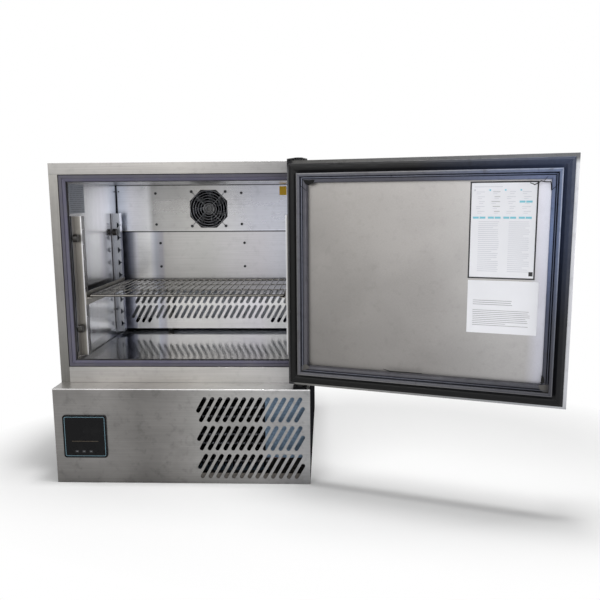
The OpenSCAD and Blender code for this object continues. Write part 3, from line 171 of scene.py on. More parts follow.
def bands(tree, axis, stops, sway=0.0):
    """A colour that changes along an axis: stops lists (place in mm, linear colour), and the
    places wander by up to the sway in mm."""
    here = place_along(tree, axis)
    if sway:
        drift = remap(tree, cloud(tree, (4, 4, 4), 2.0), 0.2, 0.8, -sway * MM, sway * MM)
        here = calculated(tree, "ADD", here, drift)
    lo, hi = stops[0][0] * MM, stops[-1][0] * MM
    made = node(tree, "ValToRGB", {"Fac": remap(tree, here, lo, hi, 0, 1)})
    elements = made.color_ramp.elements
    for element, (_, colour) in zip(elements, (stops[0], stops[-1])):
        element.color = rgba(colour)
    for place, colour in stops[1:-1]:
        elements.new((place * MM - lo) / (hi - lo)).color = rgba(colour)
    return made.outputs["Color"]


def tones(*stops):
    """Stops in plain grey from pairs of (place in mm, share of the light)."""
    return [(place, (share, share, share)) for place, share in stops]


def hues(*stops):
    """Stops in colour from (place in mm, red, green, blue), each from 0 to 255."""
    return [(place, srgb(*channels)) for place, *channels in stops]


# Waves per metre of the scratches of brushed sheet, along X or upwards
GRAIN = {"x": (6, 900, 900), "z": (900, 900, 5)}


def brushed_steel(name, colour, rough, grain="x", turn=0.0, stains=0.12):
    """Brushed sheet with fine scratches along one axis, soft clouds and faint stains."""
    made, tree, surface = material(name, Metallic=1.0)
    scratches = cloud(tree, GRAIN[grain], 3.0, turn)
    broad = cloud(tree, (5, 5, 5), 3.0, turn, 0.6)
    spots = cloud(tree, (19, 19, 23), 5.0, turn, 1.2)
    base = mixed(tree, remap(tree, broad, 0.3, 0.7, 0, 1), darker(colour, 1 - stains), colour)
    base = mixed(tree, remap(tree, spots, 0.56, 0.74, 0, 0.55), base, darker(colour, 0.78))
    base = mixed(tree, remap(tree, scratches, 0.3, 0.8, 0, 0.22), base, darker(colour, 1.25))
    dress(tree, surface, Base_Color=base, Normal=bump(tree, scratches, 0.02 * MM),
          Roughness=remap(tree, scratches, 0.3, 0.7, rough, rough + 0.1))
    return made


def sheet_metal(name, axis, across, upwards, rough, grain="x", stains=0.1, sway=0.0,
                streaks=0.18):
    """Bright sheet with painted reflections and shade: its colour changes in bands that stand in
    for the surroundings mirrored in it and the light on it. across lists stops along X, or Y for a
    side wall, and upwards lists stops along Z."""
    made, tree, surface = material(name, Metallic=1.0)
    tone = multiplied(tree, bands(tree, axis, across, sway), bands(tree, "Z", upwards))
    scratches = cloud(tree, GRAIN[grain], 3.0)
    broad = cloud(tree, (7, 7, 9), 4.0, 0.0, 0.5)
    fine = cloud(tree, (60, 60, 60), 4.0)
    for marks in ((scratches, 0.3, 0.75, 1 - streaks, 1), (broad, 0.35, 0.65, 1 - stains, 1),
                  (fine, 0.55, 0.75, 1, 1 - stains)):
        tone = multiplied(tree, tone, remap(tree, *marks))
    dress(tree, surface, Base_Color=tone,
          Roughness=remap(tree, broad, 0.3, 0.7, rough, rough + 0.08))
    return made


def cells(name, middle, edge, per_metre, reach, depth, **inputs):
    """Flakes or foam cells, whose colour changes from their middles to their edges."""
    made, tree, surface = material(name, **inputs)
    spots = node(tree, "TexVoronoi", {"Vector": position(tree), "Scale": per_metre})
    tone = remap(tree, spots.outputs["Distance"], 0, reach, 0, 1)
    dress(tree, surface, Base_Color=mixed(tree, tone, middle, edge),
          Normal=bump(tree, tone, depth))
    return made


def galvanised_steel(name, colour):
    """Zinc-coated sheet with its flakes."""
    return cells(name, colour, darker(colour, 0.7), 160.0, 0.7, 0.03 * MM,
                 Metallic=0.7, Roughness=0.5)


def metal(name, colour, rough, vary=0.25):
    """Cast, drawn or plated metal with patchy tone."""
    made, tree, surface = material(name, Metallic=1.0)
    patches = cloud(tree, (60, 60, 60), 4.0)
    tone = remap(tree, patches, 0.35, 0.7, 0, 1)
    dress(tree, surface, Base_Color=mixed(tree, tone, colour, darker(colour, 1 - vary)),
          Roughness=remap(tree, patches, 0.3, 0.7, rough, rough + 0.15))
    return made


def plastic(name, colour, rough, texture=900.0, depth=0.04 * MM, dust=0.25, shine=0.5):
    """Moulded plastic with a fine texture and a little dust."""
    made, tree, surface = material(name, Specular_IOR_Level=shine)
    fine = cloud(tree, (texture,) * 3, 2.0)
    patches = cloud(tree, (26, 26, 26), 4.0)
    tone = remap(tree, patches, 0.5, 0.8, 0, dust)
    dress(tree, surface, Base_Color=mixed(tree, tone, colour, srgb(120, 118, 116)),
          Roughness=remap(tree, patches, 0.3, 0.7, rough, rough + 0.15),
          Normal=bump(tree, fine, depth))
    return made


# Places along X between which the open door's rubber changes to its free side's tones, which carry
# painted sheen
RUBBER_FROM, RUBBER_TO = 560 * MM, 860 * MM


def rubber(name, hinge_side, free_side, dirt, rough, shine):
    """Seal rubber with streaks, dirt and scuffs: one list of stops up the open door's hinge
    side and one up its free side, both with painted sheen that lightens upwards and turns bluer on
    the free side."""
    made, tree, surface = material(name, Specular_IOR_Level=shine)
    share = remap(tree, place_along(tree, "X"), RUBBER_FROM, RUBBER_TO, 0, 1)
    base = mixed(tree, share, bands(tree, "Z", hinge_side), bands(tree, "Z", free_side))
    patches = cloud(tree, (38, 38, 38), 6.0, 0.0, 1.0)
    streaks = cloud(tree, (150, 150, 150), 3.0)
    base = multiplied(tree, base, remap(tree, streaks, 0.35, 0.7, 1, 0.85))
    base = mixed(tree, remap(tree, patches, 0.58, 0.75, 0, 0.5), base, dirt)
    dress(tree, surface, Base_Color=base, Normal=bump(tree, streaks, 0.12 * MM),
          Roughness=remap(tree, patches, 0.3, 0.7, rough, rough + 0.25))
    return made


def paper(name, colour, rough=0.55):
    """Paper, or the ink on it, with its fibres and faint clouds."""
    made, tree, surface = material(name)
    fibres = cloud(tree, (700, 700, 700), 3.0)
    tone = cloud(tree, (16, 16, 16), 3.0)
    base = mixed(tree, remap(tree, tone, 0.4, 0.75, 0, 0.35), colour, darker(colour, 0.88))
    dress(tree, surface, Base_Color=base, Normal=bump(tree, fibres, 0.01 * MM),
          Roughness=remap(tree, fibres, 0.3, 0.7, rough, rough + 0.1))
    return made


# Outer sheets
# Painted reflections: the top panel and sill are lighter across the middle and low down, darker
# near the top
front_steel = sheet_metal(
    "front_steel", "X", hues(
        (-325, 166, 164, 161), (-150, 174, 171, 168), (0, 186, 183, 179),
        (160, 182, 180, 178), (325, 166, 165, 166)),
    tones((280, 1.08), (290, 1.1), (780, 0.73), (808, 0.81)), 0.3, sway=6)
# Painted reflections across the base front, painted shade towards the floor, and a painted
# highlight along the fold at the top of its step
base_steel = sheet_metal(
    "base_steel", "X", hues(
        (-325, 136, 134, 132), (-200, 142, 140, 138), (-110, 128, 126, 124),
        (-20, 142, 140, 138), (90, 160, 159, 157), (200, 168, 167, 166), (325, 168, 168, 169)),
    tones((0, 0.7), (30, 0.88), (60, 1), (130, 0.92), (200, 1.02), (245, 1),
          (245.8, 2.2), (247.7, 2.2), (247.9, 1.8), (248, 1.8)),
    0.34, stains=0.2, sway=22)
# Painted reflections and light: the side columns darken towards the rear and lighten upwards
column_steel = sheet_metal(
    "column_steel", "Y", tones((-264, 1), (326, 0.9)),
    hues((248, 120, 119, 115), (420, 136, 134, 131), (640, 142, 140, 137), (780, 146, 144, 140)),
    0.3, "z", 0.08)
side_steel = brushed_steel("side_steel", srgb(150, 150, 150), 0.38, "z")
# Painted shade: the base's sides are drawn near black, standing in for the shade and dark
# reflections on them
shade_dark_sheet = plastic("shade_dark_sheet", srgb(31, 31, 34), 0.8, 260.0, 0.03 * MM, 0.04, 0.0)

# The door's sheets
door_steel = brushed_steel("door_steel", srgb(164, 163, 161), 0.3, "z", DOOR_ANGLE, 0.05)
# Painted shade and reflections on the door's rim: dark on the hinge side and along the top,
# brightening towards the free side
rim_steel = sheet_metal(
    "rim_steel", "X", hues(
        (270, 74, 74, 76), (283, 80, 80, 82), (288, 150, 149, 147), (420, 166, 165, 163),
        (700, 190, 191, 194), (860, 224, 226, 232), (893, 228, 229, 234)),
    tones((258, 0.6), (300, 0.8), (700, 1), (785, 1), (796, 0.25), (808, 0.2)),
    0.26, "z", 0.15)
# Painted reflections on the door's lining: lighter towards its free edge and upwards, with a
# bright band along that edge
door_lining = sheet_metal(
    "door_lining", "X", hues(
        (310, 146, 143, 140), (440, 156, 153, 150), (600, 168, 165, 163), (720, 188, 186, 185),
        (800, 196, 194, 194), (822, 212, 212, 222), (845, 222, 224, 236)),
    tones((310, 0.7), (420, 0.84), (600, 0.95), (755, 0.94)),
    0.34, stains=0.07, sway=14, streaks=0.1)

# The store's polished sheets and its fittings
# Painted reflections in the side walls, painted shade in the rear corner and a dark painted line
# of shade just above the floor's upturned edge
wall_steel = sheet_metal(
    "wall_steel", "Y", hues(
        (-250, 190, 192, 198), (-160, 224, 225, 229), (-20, 236, 236, 240), (60, 250, 250, 254),
        (120, 226, 228, 236), (135, 170, 172, 182), (141, 40, 41, 46)),
    tones((324.4, 0.5), (325.8, 0.55), (326.2, 1.2), (440, 1.15), (470, 0.7), (600, 0.74),
          (700, 0.78), (762, 0.68)),
    0.16, "z", 0.12, 3, 0.3)
# Painted reflection: the ceiling lightens from its left edge
ceiling_steel = sheet_metal(
    "ceiling_steel", "X", hues(
        (-284, 196, 197, 204), (-160, 240, 241, 246), (284, 250, 250, 254)),
    tones((760, 1), (763, 1)), 0.25)
# Painted reflections in the upper air panel, painted shade in its corner with the left wall and
# along its top edge, and a painted highlight along its lower hem
fan_steel = sheet_metal(
    "fan_steel", "X", hues(
        (-284, 26, 27, 32), (-281.6, 30, 31, 36), (-281, 220, 226, 238), (-262, 230, 235, 246),
        (-236, 248, 248, 254), (-188, 250, 250, 252), (-172, 184, 183, 182),
        (-100, 172, 171, 169), (-10, 184, 183, 181), (70, 198, 198, 201), (150, 196, 197, 206),
        (284, 208, 211, 222)),
    tones((620.9, 1.3), (623, 1.3), (623.4, 1), (700, 1), (758.5, 0.97), (759.5, 0.25),
          (762, 0.2)),
    0.24, sway=2)
# Painted reflections in the lower air panel, brighter about its slots, with a painted shadow under
# the upper panel's hem and painted shade beside the left wall
duct_steel = sheet_metal(
    "duct_steel", "X", hues(
        (-283, 100, 102, 112), (-250, 108, 110, 122), (-240, 150, 152, 162),
        (-228, 240, 240, 246), (-218, 255, 255, 255), (-186, 255, 255, 255),
        (-176, 226, 227, 234), (-166, 186, 189, 198), (-156, 174, 174, 182),
        (-146, 168, 167, 172), (-138, 184, 182, 180), (-10, 186, 185, 183),
        (160, 200, 198, 203), (283, 208, 211, 222)),
    tones((312, 1.7), (404, 1.7), (418, 1.3), (426, 0.62), (464, 0.6), (476, 0.9), (486, 1),
          (616.4, 1), (617.4, 0.22), (621, 0.22)),
    0.28, stains=0.08, sway=2)
# Painted reflections on the store's floor, a painted shadow where it runs under the lower air
# panel, painted shade along the fold of its upturned edge and a painted highlight on that edge
floor_steel = sheet_metal(
    "floor_steel", "Y", hues(
        (-248, 104, 101, 96), (-215, 122, 120, 118), (-80, 122, 122, 124), (60, 124, 125, 128),
        (141, 134, 136, 140), (144, 10, 11, 18), (245, 10, 11, 18)),
    tones((300, 1), (302.6, 1), (303.2, 0.3), (304.8, 0.35), (305.4, 2.6), (325, 3.0)),
    0.09, stains=0.12, sway=2)
back_steel = brushed_steel("back_steel", srgb(206, 210, 218), 0.5)
# Painted reflections and shade on the shelf uprights: darker on their flanks, bright on the rear
# wings and a little lighter upwards
fitting_steel = sheet_metal(
    "fitting_steel", "Y", hues(
        (-246, 150, 149, 152), (-226, 158, 157, 160), (-204, 144, 144, 148),
        (92, 150, 150, 154), (92.9, 208, 212, 220), (115, 190, 192, 200)),
    tones((312, 0.95), (480, 1), (676, 1.05)), 0.28, "z", 0.08)
# Painted highlight along the strips' folded edges, painted shade towards the walls, and a little
# lighter upwards
strip_steel = sheet_metal(
    "strip_steel", "X", hues(
        (-284, 112, 109, 104), (-281, 140, 136, 129), (-267, 150, 146, 139),
        (-265.4, 168, 166, 162), (-264.6, 236, 236, 238), (-262, 240, 240, 242),
        (262, 240, 240, 242), (264.6, 236, 236, 238), (265.4, 168, 166, 162),
        (284, 112, 109, 104)),
    tones((312, 0.85), (676, 1)), 0.3, "z", 0.08)
runner_steel = brushed_steel("runner_steel", srgb(176, 172, 166), 0.3, stains=0.2)

# Zinc-coated sheet and other metals
galvanised = galvanised_steel("galvanised", srgb(104, 124, 142))
baffle_steel = galvanised_steel("baffle_steel", srgb(120, 142, 164))
tray_steel = galvanised_steel("tray_steel", srgb(44, 46, 54))
# Painted shade: the base pan, its sockets and the vaporiser tray are drawn darker than bare zinc,
# for the shade inside the base
pan_steel = galvanised_steel("pan_steel", srgb(88, 84, 80))
chrome = metal("chrome", srgb(124, 121, 116), 0.22, 0.4)
guard_chrome = metal("guard_chrome", srgb(146, 147, 150), 0.22)
black_metal = metal("black_metal", srgb(30, 30, 32), 0.35)
screw_metal = metal("screw_metal", srgb(62, 62, 64), 0.35)
# Near-white metal for the painted highlight along the base's rolled edge
highlight_metal = metal("highlight_metal", srgb(236, 236, 236), 0.25, 0.12)
fin_metal = metal("fin_metal", srgb(196, 198, 200), 0.35)
black_fins = metal("black_fins", srgb(26, 26, 28), 0.5)
tube_metal = metal("tube_metal", srgb(150, 150, 154), 0.3)
coil_tube = metal("coil_tube", srgb(124, 125, 130), 0.45)
copper = metal("copper", srgb(196, 128, 88), 0.3)

# Plastics
black_plastic = plastic("black_plastic", srgb(18, 18, 20), 0.35, shine=0.25)
gloss_plastic = plastic("gloss_plastic", srgb(14, 14, 16), 0.2, 900.0, 0.01 * MM, 0.03, 0.12)
blade_plastic = plastic("blade_plastic", srgb(10, 11, 15), 0.12, 300.0, 0.01 * MM, 0.03, 0.9)
knob_plastic = plastic("knob_plastic", srgb(38, 35, 32), 0.4, 500.0, 0.2 * MM)
frame_plastic = plastic("frame_plastic", srgb(92, 90, 108), 0.4, shine=0.3)
frame_band = plastic("frame_band", srgb(86, 84, 96), 0.4, shine=0.3)
groove_plastic = plastic("groove_plastic", srgb(22, 21, 26), 0.7)
grey_plastic = plastic("grey_plastic", srgb(150, 152, 154), 0.45)
white_plastic = plastic("white_plastic", srgb(214, 214, 210), 0.45)
button_plastic = plastic("button_plastic", srgb(40, 41, 44), 0.4)
mark_plastic = plastic("mark_plastic", srgb(140, 146, 152), 0.4)
border_plastic = plastic("border_plastic", srgb(104, 134, 146), 0.4, shine=0.2)
tan_plastic = plastic("tan_plastic", srgb(86, 74, 58), 0.4)

# The door's rubber and its wear, with painted sheen in the tones up each side
carrier_rubber = rubber(
    "carrier_rubber", hues((258, 7, 7, 7), (600, 12, 12, 12), (806, 22, 22, 23)),
    hues((258, 10, 10, 12), (450, 16, 18, 24), (650, 44, 52, 72), (806, 56, 64, 86)),
    srgb(30, 29, 28), 0.3, 0.2)
seal_rubber = rubber(
    "seal_rubber", hues((290, 84, 84, 90), (770, 90, 91, 100)),
    hues((290, 46, 46, 54), (450, 54, 58, 72), (620, 88, 102, 134), (770, 108, 122, 154)),
    srgb(58, 55, 54), 0.35, 0.5)
ridge_rubber = rubber(
    "ridge_rubber", hues((290, 96, 98, 110), (770, 112, 115, 130)),
    hues((290, 48, 50, 60), (770, 88, 104, 138)), srgb(56, 54, 56), 0.3, 0.5)
# Painted shade in the seal's grooves
groove_shade_rubber = rubber(
    "groove_shade_rubber", hues((290, 62, 63, 70), (770, 68, 70, 80)),
    hues((290, 18, 18, 22), (770, 26, 28, 40)), srgb(24, 22, 22), 0.6, 0.1)
# Painted highlight along the crest of the seal's outer bead
bead_highlight_rubber = rubber(
    "bead_highlight_rubber", hues((290, 112, 110, 108), (770, 136, 134, 132)),
    hues((290, 74, 74, 78), (500, 96, 104, 124), (680, 178, 188, 210), (770, 160, 168, 188)),
    srgb(60, 57, 56), 0.35, 0.5)
lip_rubber = rubber(
    "lip_rubber", hues((290, 68, 67, 74), (770, 72, 72, 82)),
    hues((290, 42, 42, 50), (480, 58, 66, 90), (640, 112, 132, 176), (770, 104, 116, 150)),
    srgb(46, 44, 44), 0.35, 0.5)
torn_rubber = plastic("torn_rubber", srgb(10, 10, 11), 0.6, 300.0, 0.2 * MM, 0.1, 0.2)
scuffed_rubber = plastic("scuffed_rubber", srgb(84, 82, 80), 0.7, 240.0, 0.6 * MM, 0.3, 0.3)

# Foam, paper and plates
foam = cells("foam", srgb(226, 208, 160), srgb(192, 170, 118), 420.0, 0.6, 0.4 * MM,
             Roughness=0.9)
paper_white = paper("paper_white", srgb(240, 241, 246))
ink_pale = paper("ink_pale", srgb(206, 208, 216))
ink_black = paper("ink_black", srgb(26, 26, 30))
ink_grey = paper("ink_grey", srgb(150, 150, 154))
ink_blue = paper("ink_blue", srgb(126, 200, 218))
plate_blue = paper("plate_blue", srgb(122, 127, 138), 0.35)
plate_ink = paper("plate_ink", srgb(84, 87, 96), 0.4)
label_yellow = paper("label_yellow", srgb(250, 200, 36), 0.4)

FINISHES = {
    front_steel: "top_panel front_sill",
    base_steel: "base_front_panel",
    column_steel: "side_panel_left side_panel_right",
    side_steel: "rear_panel base_rear_grille deck_panel",
    shade_dark_sheet: "base_side_left base_side_right",
    door_steel: "door_skin",
    door_lining: "door_liner",
    wall_steel: "liner_left liner_right",
    ceiling_steel: "liner_top",
    back_steel: "liner_back",
    fan_steel: "fan_panel",
    duct_steel: "duct_panel",
    floor_steel: "liner_floor",
    fitting_steel: "shelf_uprights",
    runner_steel: "shelf_runners",
    galvanised: "condenser_shroud",
    baffle_steel: "air_baffle",
    tray_steel: "drip_tray",
    pan_steel: "base_pan leg_sockets vaporiser_tray",
    chrome: "wire_shelf",
    guard_chrome: "fan_guard",
    black_metal: "hinge_bracket_top hinge_bracket_low compressor condenser_fan_motor",
    screw_metal: "screws_and_studs",
    fin_metal: "evaporator_fins condenser_fan_rotor",
    black_fins: "condenser_fins",
    tube_metal: "evaporator_tubes",
    coil_tube: "condenser_tubes",
    copper: "filter_drier refrigerant_pipes",
    black_plastic: "hinge_bushes door_handle cable_gland compressor_mounts temperature_probe "
                   "evaporator_fan_frame",
    gloss_plastic: "controller",
    blade_plastic: "evaporator_fan_rotor",
    knob_plastic: "upright_knobs",
    frame_plastic: "breaker_frame",
    button_plastic: "button_left button_middle button_right",
    grey_plastic: "electrical_box",
    white_plastic: "drain_pipe",
    carrier_rubber: "seal_carrier",
    seal_rubber: "door_seal",
    foam: "foam_insulation door_foam",
}
for finish, names in FINISHES.items():
    for name in names.split():
        NODES[name].data.materials.clear()
        NODES[name].data.materials.append(finish)


# Mesh pieces

def in_scene(name, data):
    """A new object of the scene that shows a mesh, a camera or a lamp."""
    made = bpy.data.objects.new(name, data)
    bpy.context.scene.collection.objects.link(made)
    return made


def piece(name, bm, body, materials, smooth=35.0):
    """Turns a bmesh into an object that rides on a body, smooth up to an angle in degrees,
    or as its faces already are if smooth is None."""
    bmesh.ops.recalc_face_normals(bm, faces=bm.faces)
    mesh = bpy.data.meshes.new(name)
    bm.to_mesh(mesh)
    bm.free()
    if smooth is not None:
        mesh.shade_smooth()
        mesh.set_sharp_from_angle(angle=math.radians(smooth))
    made = in_scene(name, mesh)
    for finish in materials:
        mesh.materials.append(finish)
    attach(made, body)
    return made


def rounded(node_name, name, body, finishes, radius, segments=2, choose=None):
    """A copy of a CAD piece with its edges rounded, shown in its place. choose gives the
    index of a face's finish from its normal."""
    bm = bmesh.new()
    bm.from_mesh(NODES[node_name].data)
    bmesh.ops.remove_doubles(bm, verts=bm.verts, dist=0.0005 * MM)
    bmesh.ops.dissolve_limit(bm, angle_limit=math.radians(0.5), verts=bm.verts, edges=bm.edges)
    sharp = [e for e in bm.edges if e.is_manifold and e.calc_face_angle() > math.radians(40)]
    rolled = bmesh.ops.bevel(bm, geom=sharp, offset=radius, segments=segments, profile=0.5,
                             affect="EDGES", clamp_overlap=True)["faces"]
    bm.normal_update()
    for face in bm.faces:
        face.smooth = False
        face.material_index = choose(face.normal) if choose else 0
    for face in rolled:
        face.smooth = True
    made = piece(name, bm, body, finishes, None)
    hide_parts(node_name)


def mitred_ring(bm, levels, place, steps=1, gap=0.0, finishes=None, wobble=0.0, wave=14.0):
    """Four mitred strips round an opening. A level is a rectangle (u0, v0, u1, v1, height) that
    the strips' outline passes through, and finishes gives the material index after each level."""
    for side in range(4):
        rows = []
        for u0, v0, u1, v1, height in levels:
            corners = [Vector((u0, v0)), Vector((u1, v0)), Vector((u1, v1)), Vector((u0, v1))]
            start, end = corners[side], corners[(side + 1) % 4]
            along = (end - start).normalized()
            start, end = start + along * gap, end - along * gap
            row = []
            for step in range(steps + 1):
                u, v = start.lerp(end, step / steps)
                sway = wobble * noise.noise(Vector((u * wave, v * wave, side + 3.1)))
                row.append(bm.verts.new(place(u, v, height + sway)))
            rows.append(row)
        indices = finishes or [0] * len(rows)
        for row, following, index in zip(rows, rows[1:] + rows[:1], indices):
            for step in range(steps):
                corners = (row[step], row[step + 1], following[step + 1], following[step])
                bm.faces.new(corners).material_index = index
        for step in (0, steps):
            bm.faces.new([row[step] for row in rows]).material_index = indices[0]


def local_box(node_name, place):
    """Corners of a CAD piece in the space of a placed body."""
    back = place.inverted()
    places = list(zip(*[back @ vert.co for vert in NODES[node_name].data.vertices]))
    return Vector([min(axis) for axis in places]), Vector([max(axis) for axis in places])


def ring_sides(bm, low, high):
    """The faces between two rings of as many vertices."""
    for corners in zip(low, low[1:] + low[:1], high[1:] + high[:1], high):
        bm.faces.new(corners)


def closed_tube(bm, rings):
    """Joins rings of as many vertices into a tube with flat ends."""
    for low, high in zip(rings, rings[1:]):
        ring_sides(bm, low, high)
    bm.faces.new(rings[0])
    bm.faces.new(rings[-1])


def lathe(bm, profile, place, segments):
    """Turns a profile of (radius, distance) about an axis; place maps (x, y, distance)."""
    angles = [2 * math.pi * k / segments for k in range(segments)]
    closed_tube(bm, [
        [bm.verts.new(place(radius * math.cos(a), radius * math.sin(a), distance)) for a in angles]
        for radius, distance in profile])


def closed_shell(bm, first, second, choose=None):
    """Joins two grids of as many points into a closed sheet. choose gives the finish of a face
    of the first grid from its place there."""
    rows, columns = len(first) - 1, len(first[0]) - 1
    for i in range(rows):
        for j in range(columns):
            for grid in (first, second):
                corners = (grid[i][j], grid[i][j + 1], grid[i + 1][j + 1], grid[i + 1][j])
                face = bm.faces.new(corners)
                if choose and grid is first:
                    face.material_index = choose(i, j)
    borders = [[row[0] for row in grid] + grid[-1][1:] + [row[-1] for row in grid[-2::-1]]
               + grid[0][-2:0:-1] for grid in (first, second)]
    ring_sides(bm, *borders)


def slab(bm, lo, hi, material_index=0):
    """A closed box between two corners."""
    verts = [bm.verts.new((x, y, z))
             for x in (lo[0], hi[0]) for y in (lo[1], hi[1]) for z in (lo[2], hi[2])]
    sides = ((0, 1, 3, 2), (4, 6, 7, 5), (0, 4, 5, 1), (2, 3, 7, 6), (0, 2, 6, 4), (1, 5, 7, 3))
    for side in sides:
        bm.faces.new([verts[i] for i in side]).material_index = material_index


def rounded_outline(x0, z0, x1, z1, radius):
    """Points of a rectangle with round corners."""
    left, right, low, high = x0 + radius, x1 - radius, z0 + radius, z1 - radius
    points = []
    for x, z, start in ((right, high, 0), (left, high, 90), (left, low, 180), (right, low, 270)):
        for turned in range(0, 91, 15):
            angle = math.radians(start + turned)
            points.append((x + radius * math.cos(angle), z + radius * math.sin(angle)))
    return points


def band(bm, outer, inner, near, far, place):
    """A closed flat band between two outlines of as many points."""
    rings = [[bm.verts.new(place(u, v, depth)) for u, v in line]
             for line, depth in ((outer, near), (inner, near), (inner, far), (outer, far))]
    for low, high in zip(rings, rings[1:] + rings[:1]):
        ring_sides(bm, low, high)


def plate(bm, outline, near, far, place):
    """A closed flat plate with an outline."""
    closed_tube(bm, [[bm.verts.new(place(u, v, depth)) for u, v in outline]
                     for depth in (near, far)])


def facing_front(u, v, depth):
    """Places a flat drawing in X and Z with its depth along Y."""
    return Vector((u, depth, v))


def on_door(u, v, height):
    """Places a drawing on the door: u along its width, v upwards, height off its inner face."""
    return DOOR @ Vector((u, height, v))


# Rounded sheet metal and the handle
SHEET_EDGE = 0.45 * MM
HANDLE_EDGE = 3 * MM
for node_name, name, finish in (
    ("top_panel", "top_sheet", front_steel),
    ("front_sill", "sill_sheet", front_steel),
    ("side_panel_left", "left_sheet", column_steel),
    ("side_panel_right", "right_sheet", column_steel),
    ("base_side_left", "base_left_sheet", shade_dark_sheet),
    ("base_side_right", "base_right_sheet", shade_dark_sheet),
):
    rounded(node_name, name, "cabinet", [finish], SHEET_EDGE)
rounded("door_handle", "handle_grip", "door", [black_plastic], HANDLE_EDGE, 4)


def rim_or_skin(normal):
    """0 for the narrow rim round the seal and the edges that join it, 1 for the outer face."""
    inward = DOOR.to_3x3() @ Vector((0, 1, 0))
    return 1 if normal.dot(inward) < -0.5 else 0


rounded("door_skin", "door_sheet", "door", [rim_steel, door_steel], SHEET_EDGE,
        choose=rim_or_skin)

# The door's seal and its carrier, both placed by their inset from the door's edges
rim_lo, rim_hi = local_box("door_skin", DOOR)
carrier_lo, carrier_hi = local_box("seal_carrier", DOOR)
seal_lo, seal_hi = local_box("door_seal", DOOR)
carrier_in = carrier_lo.x - rim_lo.x
seal_in = seal_lo.x - rim_lo.x
STRIP_STEPS = 60
RIDGE_DROP = 9 * MM


def inset_levels(start, top, profile):
    """Levels of a ring that is inset alike from all the door's edges: profile lists the inset
    from the start and the drop below the top, in mm."""
    insets = [(start + inset * MM, top - drop * MM) for inset, drop in profile]
    return [(rim_lo.x + a, rim_lo.z + a, rim_hi.x - a, rim_hi.z - a, height)
            for a, height in insets]


def carrier_piece():
    """The stepped black profile that holds the seal, from (inset, drop) in mm."""
    width = (seal_in - carrier_in) / MM - 0.15
    depth = (carrier_hi.y - carrier_lo.y) / MM
    profile = [
        (0, depth), (0, 5), (1.4, 3.2), (3.2, 2.6), (4.4, 1.4), (6.4, 0.3), (9, 0), (12, 0),
        (15, 0.4), (16.8, 1.4), (17.6, 2.4), (width - 1.2, 2.8), (width, 4), (width, depth),
    ]
    levels = inset_levels(carrier_in, carrier_hi.y, profile)
    bm = bmesh.new()
    mitred_ring(bm, levels, on_door, STRIP_STEPS, 0.05 * MM, None, 0.5 * MM)
    made = piece("door_carrier_profile", bm, "door", [carrier_rubber], 50)
    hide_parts("seal_carrier")


def seal_piece():
    """The seal, from (inset, drop) in mm and the finish that follows: its outer bead with a
    painted highlight on its crest, a groove with painted shade, a ridge, a second groove with
    painted shade and the inner lip."""
    depth = (seal_hi.y - seal_lo.y) / MM
    profile = [
        (0, depth, 0), (0, 1, 0), (1, 0.2, 3), (2.2, 0, 0), (5.6, 0, 0), (7, 0.6, 0), (7.8, 2, 2),
        (8, 12, 2), (9.2, 12, 2), (9.4, 9, 1), (10.2, 8, 1), (11.6, 8.2, 1), (12.2, 9.4, 2),
        (12.4, 12, 2), (13.4, 12, 2), (13.6, 10, 0), (14.4, 9, 4), (19.4, 9.3, 4), (21, 10.4, 4),
        (21.8, 12.4, 4), (22, depth - 2, 2), (22, depth, 2),
    ]
    levels = inset_levels(seal_in, seal_hi.y, [(inset, drop) for inset, drop, _ in profile])
    finishes = [finish for _, _, finish in profile]
    bm = bmesh.new()
    mitred_ring(bm, levels, on_door, STRIP_STEPS, 0.25 * MM, finishes, 0.4 * MM, 20.0)
    made = piece("door_seal_profile", bm, "door",
                 [seal_rubber, ridge_rubber, groove_shade_rubber, bead_highlight_rubber, lip_rubber], 50)
    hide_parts("door_seal")


# Places of the wear in mm along and up the door
CUT_SHORT = [(-554.8, 749.6), (-562.1, 758.7)]
CUT_LONG = [(-570, 730.4), (-580.5, 740)]
CUT_OUTER = [(-580.5, 740), (-589.5, 751)]
LIP_FREE = [(-527, 746.8), (-537, 742.7), (-545, 746.7), (-549, 750.2), (-559, 748),
            (-568.5, 748), (-570, 739), (-570, 730.4)]
LIP_HINGE = [(-7, 751), (-19.5, 744), (-30.7, 734.6)]
LIP_LOW = [(-219, 320), (-235.6, 315.4), (-271, 316), (-310.5, 317)]
FLAP_HINGE = [(-22, 760), (-51.5, 759.7), (-44, 751.7), (-34, 748), (-27, 752)]
NOTCH_FREE = [(-569, 334.4), (-574, 331.5), (-576, 318), (-568, 316.4)]
SCUFF_FREE = [(-563, 312.6), (-583, 315.5), (-591, 306), (-590.5, 295), (-578, 294), (-568, 302)]
SCUFF_HINGE = [(-3, 317.4), (-13.4, 310.7), (-26.5, 316.8), (-37, 307.5), (-16, 298)]


def torn_line(bm, points, radius, height):
    """A thin ragged strip of torn rubber through points on the door."""
    rings = []
    last = len(points) - 1
    for k, (u, v) in enumerate(points):
        before, after = points[max(k - 1, 0)], points[min(k + 1, last)]
        along = Vector((after[0] - before[0], after[1] - before[1])).normalized()
        size = radius * (0.5 if k in (0, last) else chance.uniform(0.8, 1.2))
        ring = []
        for corner in range(6):
            angle = 2 * math.pi * corner / 6
            side, lift = size * math.cos(angle), size * math.sin(angle)
            ring.append(bm.verts.new(on_door(
                u * MM - along.y * side, v * MM + along.x * side, height + lift)))
        rings.append(ring)
    closed_tube(bm, rings)


